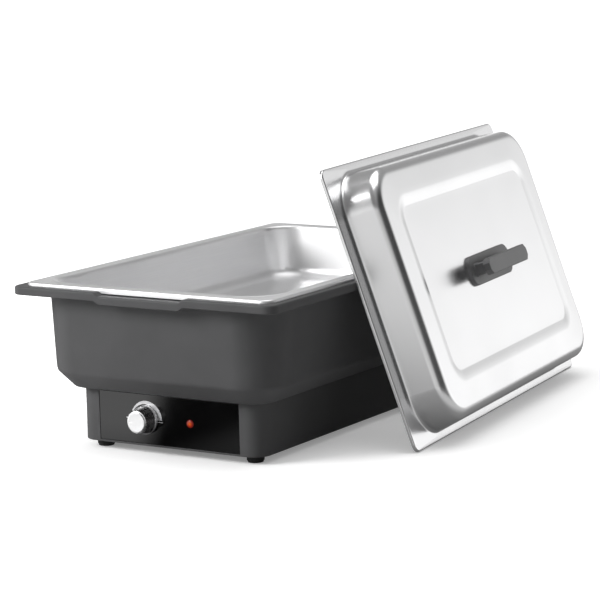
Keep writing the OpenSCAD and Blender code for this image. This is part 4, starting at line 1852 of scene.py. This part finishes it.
@dataclass
class Studio:
    """Floor, world, lamps and camera; lengths in metres, angles in degrees."""

    eye: Triple = (1.6641, -2.6226, 0.6581)
    azimuth: float = 31.803
    elevation: float = 9.423
    roll: float = -1.406
    lens: float = 159.48
    sensor: float = 36.0
    key_lamp: Lamp = Lamp("key_lamp", (-1.9, -2.3, 1.7), (0.0, 0.0, 0.12), 1.4, 95.0)
    top_lamp: Lamp = Lamp("top_lamp", (0.1, 0.3, 2.5), (0.0, 0.0, 0.1), 2.2, 26.0)
    floor_size: float = 60.0
    paint_levels: Span = (0.82, 0.03)
    # Painted shadow: ambient occlusion darkens the floor's glow where the object is near.
    painted_shadow_reach: float = 0.15
    painted_shadow_samples: int = 8
    painted_shadow_levels: Span = (0.28, 1.0)
    near_levels: Span = (0.7, 1.0)
    near_span: Span = (0.4, 1.1)
    # The floor areas are seen in mirrors alone, by their place on the floor.
    floor_behind: Area = Area((-0.3, 0.95, 0.0), (0.0, 1.1), (0.8, 1.9))
    floor_before: Area = Area((0.0, -1.0, 0.0), (0.0, 0.8), (0.7, 1.3))
    floor_sweep: Area = Area((-0.85, 0.527, 0.0), (0.0, 1.5), (-0.112, -0.07))
    floor_right: Area = Area(ACROSS, (0.0, 0.3), (-0.1, 0.0))
    floor_beside: Area = Area(ACROSS, (0.0, 0.6), (0.15, 0.35))
    sweep_start: Span = (0.25, 0.35)
    # The sky areas are seen in mirrors alone, by their direction.
    sky_height: Area = Area(UP, (1.78, 0.45), (0.0, 0.36))
    sky_dark: Area = Area((0.99, 0.14, 0.1), (1.0, 0.14), (0.55, 0.86))
    sky_front: Area = Area((0.0, -1.0, 0.0), (1.0, 0.6), (0.2, 0.9))
    sky_back: Area = Area((-0.08, 0.997, 0.0), (1.0, 0.5), (0.95, 0.995))
    sky_bright: Area = Area((0.64, 0.76, 0.12), (0.0, 0.5), (0.93, 0.99))
    sky_key: Area = Area((-0.53, -0.84, 0.0), (0.0, 1.6), (0.88, 0.98))
    # The soft areas light what is matte.
    soft_ambient: Area = Area((0.75, -0.6, 0.1), (0.34, 0.0), (-0.35, 0.65))
    soft_fill: Area = Area((0.8, 0.58, 0.15), (0.0, 0.28), (0.5, 0.95))

    @staticmethod
    def mirrored(sheet: Sheet, path: bpy.types.Node) -> Socket:
        """Returns one for rays that see the surroundings in a mirror or through glass."""
        return sheet.combine(Sum.LARGEST, path.outputs["Is Glossy Ray"], path.outputs["Is Transmission Ray"])

    def floor_level(self, sheet: Sheet, place: Socket, path: bpy.types.Node) -> Socket:
        """Sets how bright the floor looks by itself, to the camera and in mirrors.

        Args:
            sheet: Node sheet of the floor.
            place: Output with the place on the floor.
            path: Light path node.

        Returns:
            The output with the level, darkened by a painted shadow where the object is near the floor.
        """
        reach = sheet.add("ShaderNodeVectorMath", operation="LENGTH")
        sheet.join(place, reach.inputs[0])
        far = sheet.spread(reach.outputs["Value"], self.near_levels, self.near_span, Ease.SOFT)
        direct = sheet.combine(Sum.MULTIPLIED, far, path.outputs["Is Camera Ray"])
        ahead = sheet.spread(sheet.towards(place, self.floor_before.side), WHOLE, self.sweep_start)
        sweep = sheet.combine(Sum.MULTIPLIED, sheet.area(place, self.floor_sweep), ahead)
        plain = (self.floor_behind, self.floor_before, self.floor_right, self.floor_beside)
        around = sheet.combine(Sum.LARGEST, sweep, *(sheet.area(place, area) for area in plain))
        reflected = sheet.combine(Sum.MULTIPLIED, around, self.mirrored(sheet, path))
        # Painted shadow: ambient occlusion darkens the glow, to the camera and in mirrors, where the object
        # is near.
        occlusion = sheet.add("ShaderNodeAmbientOcclusion", samples=self.painted_shadow_samples)
        occlusion.inputs["Distance"].default_value = self.painted_shadow_reach
        shadow = sheet.spread(occlusion.outputs["AO"], self.painted_shadow_levels, WHOLE)
        return sheet.combine(Sum.MULTIPLIED, sheet.combine(Sum.ADDED, direct, reflected), shadow)

    def floor(self) -> None:
        """Makes the pale floor: its paint keeps the lamps' shadows, and its glow carries a painted shadow
        where the object is near.
        """
        Bench.clear()
        bpy.ops.mesh.primitive_plane_add(size=self.floor_size)
        floor = bpy.context.object
        floor.name = "studio_floor"
        material = bpy.data.materials.new("studio_floor")
        material.use_nodes = True
        sheet = Sheet(material.node_tree)
        place = sheet.add("ShaderNodeTexCoord").outputs["Object"]
        path = sheet.add("ShaderNodeLightPath")
        paint = sheet.add("ShaderNodeBsdfDiffuse")
        white = sheet.spread(self.mirrored(sheet, path), self.paint_levels, WHOLE)
        sheet.join(white, paint.inputs["Color"])
        glow = sheet.add("ShaderNodeEmission")
        sheet.join(self.floor_level(sheet, place, path), glow.inputs["Strength"])
        both = sheet.add("ShaderNodeAddShader")
        sheet.join(paint.outputs["BSDF"], both.inputs[0])
        sheet.join(glow.outputs["Emission"], both.inputs[1])
        output = sheet.add("ShaderNodeOutputMaterial")
        sheet.join(both.outputs["Shader"], output.inputs["Surface"])
        floor.data.materials.append(material)

    def world(self) -> None:
        """Makes the white surroundings, dim on the viewer's side so that metal shows its form."""
        world = bpy.data.worlds.new("studio")
        bpy.context.scene.world = world
        world.use_nodes = True
        sheet = Sheet(world.node_tree)
        place = sheet.add("ShaderNodeTexCoord").outputs["Generated"]
        path = sheet.add("ShaderNodeLightPath")
        dimmed = (self.sky_height, self.sky_dark, self.sky_front, self.sky_back)
        shaded = sheet.combine(Sum.MULTIPLIED, *(sheet.area(place, area) for area in dimmed))
        lit = (sheet.area(place, area) for area in (self.sky_bright, self.sky_key))
        seen = sheet.add("ShaderNodeBackground")
        sheet.join(sheet.combine(Sum.ADDED, shaded, *lit), seen.inputs["Strength"])
        gentle = (sheet.area(place, area) for area in (self.soft_ambient, self.soft_fill))
        soft = sheet.add("ShaderNodeBackground")
        sheet.join(sheet.combine(Sum.ADDED, *gentle), soft.inputs["Strength"])
        white = sheet.add("ShaderNodeBackground")
        mirror = self.mirrored(sheet, path)
        around = sheet.blend(mirror, soft.outputs["Background"], seen.outputs["Background"])
        result = sheet.blend(path.outputs["Is Camera Ray"], around, white.outputs["Background"])
        output = sheet.add("ShaderNodeOutputWorld")
        sheet.join(result, output.inputs["Surface"])

    def camera(self) -> None:
        """Sets the camera at the photo's viewpoint."""
        data = bpy.data.cameras.new("photo_view")
        data.lens = self.lens
        data.sensor_width = self.sensor
        camera = bpy.data.objects.new("photo_view", data)
        bpy.context.scene.collection.objects.link(camera)
        camera.location = PLACE.centre() + Vector(self.eye)
        turn = math.radians(self.azimuth)
        tilt = math.radians(self.elevation)
        back = Vector((math.sin(turn) * math.cos(tilt), -math.cos(turn) * math.cos(tilt), math.sin(tilt)))
        level = back.to_track_quat("Z", "Y").to_matrix()
        camera.rotation_euler = (level @ Matrix.Rotation(math.radians(self.roll), 3, "Z")).to_euler()
        bpy.context.scene.camera = camera

    def build(self) -> None:
        """Sets up the whole studio."""
        self.floor()
        self.world()
        self.key_lamp.hang()
        self.top_lamp.hang()
        self.camera()
        bpy.context.scene.view_settings.view_transform = "Standard"


def main() -> None:
    """Builds and dresses every sub-assembly, then the studio."""
    logging.basicConfig(level=logging.INFO, format="%(message)s")
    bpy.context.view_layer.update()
    Finishes().dress()
    Housing().build()
    Plinth().build()
    Feet().build()
    ControlPanel().build()
    Knob().build()
    FoodPan().build()
    Lid().build()
    LidHandle().build()
    HeatingRod().build()
    Studio().build()


if __name__ == "__main__":
    main()
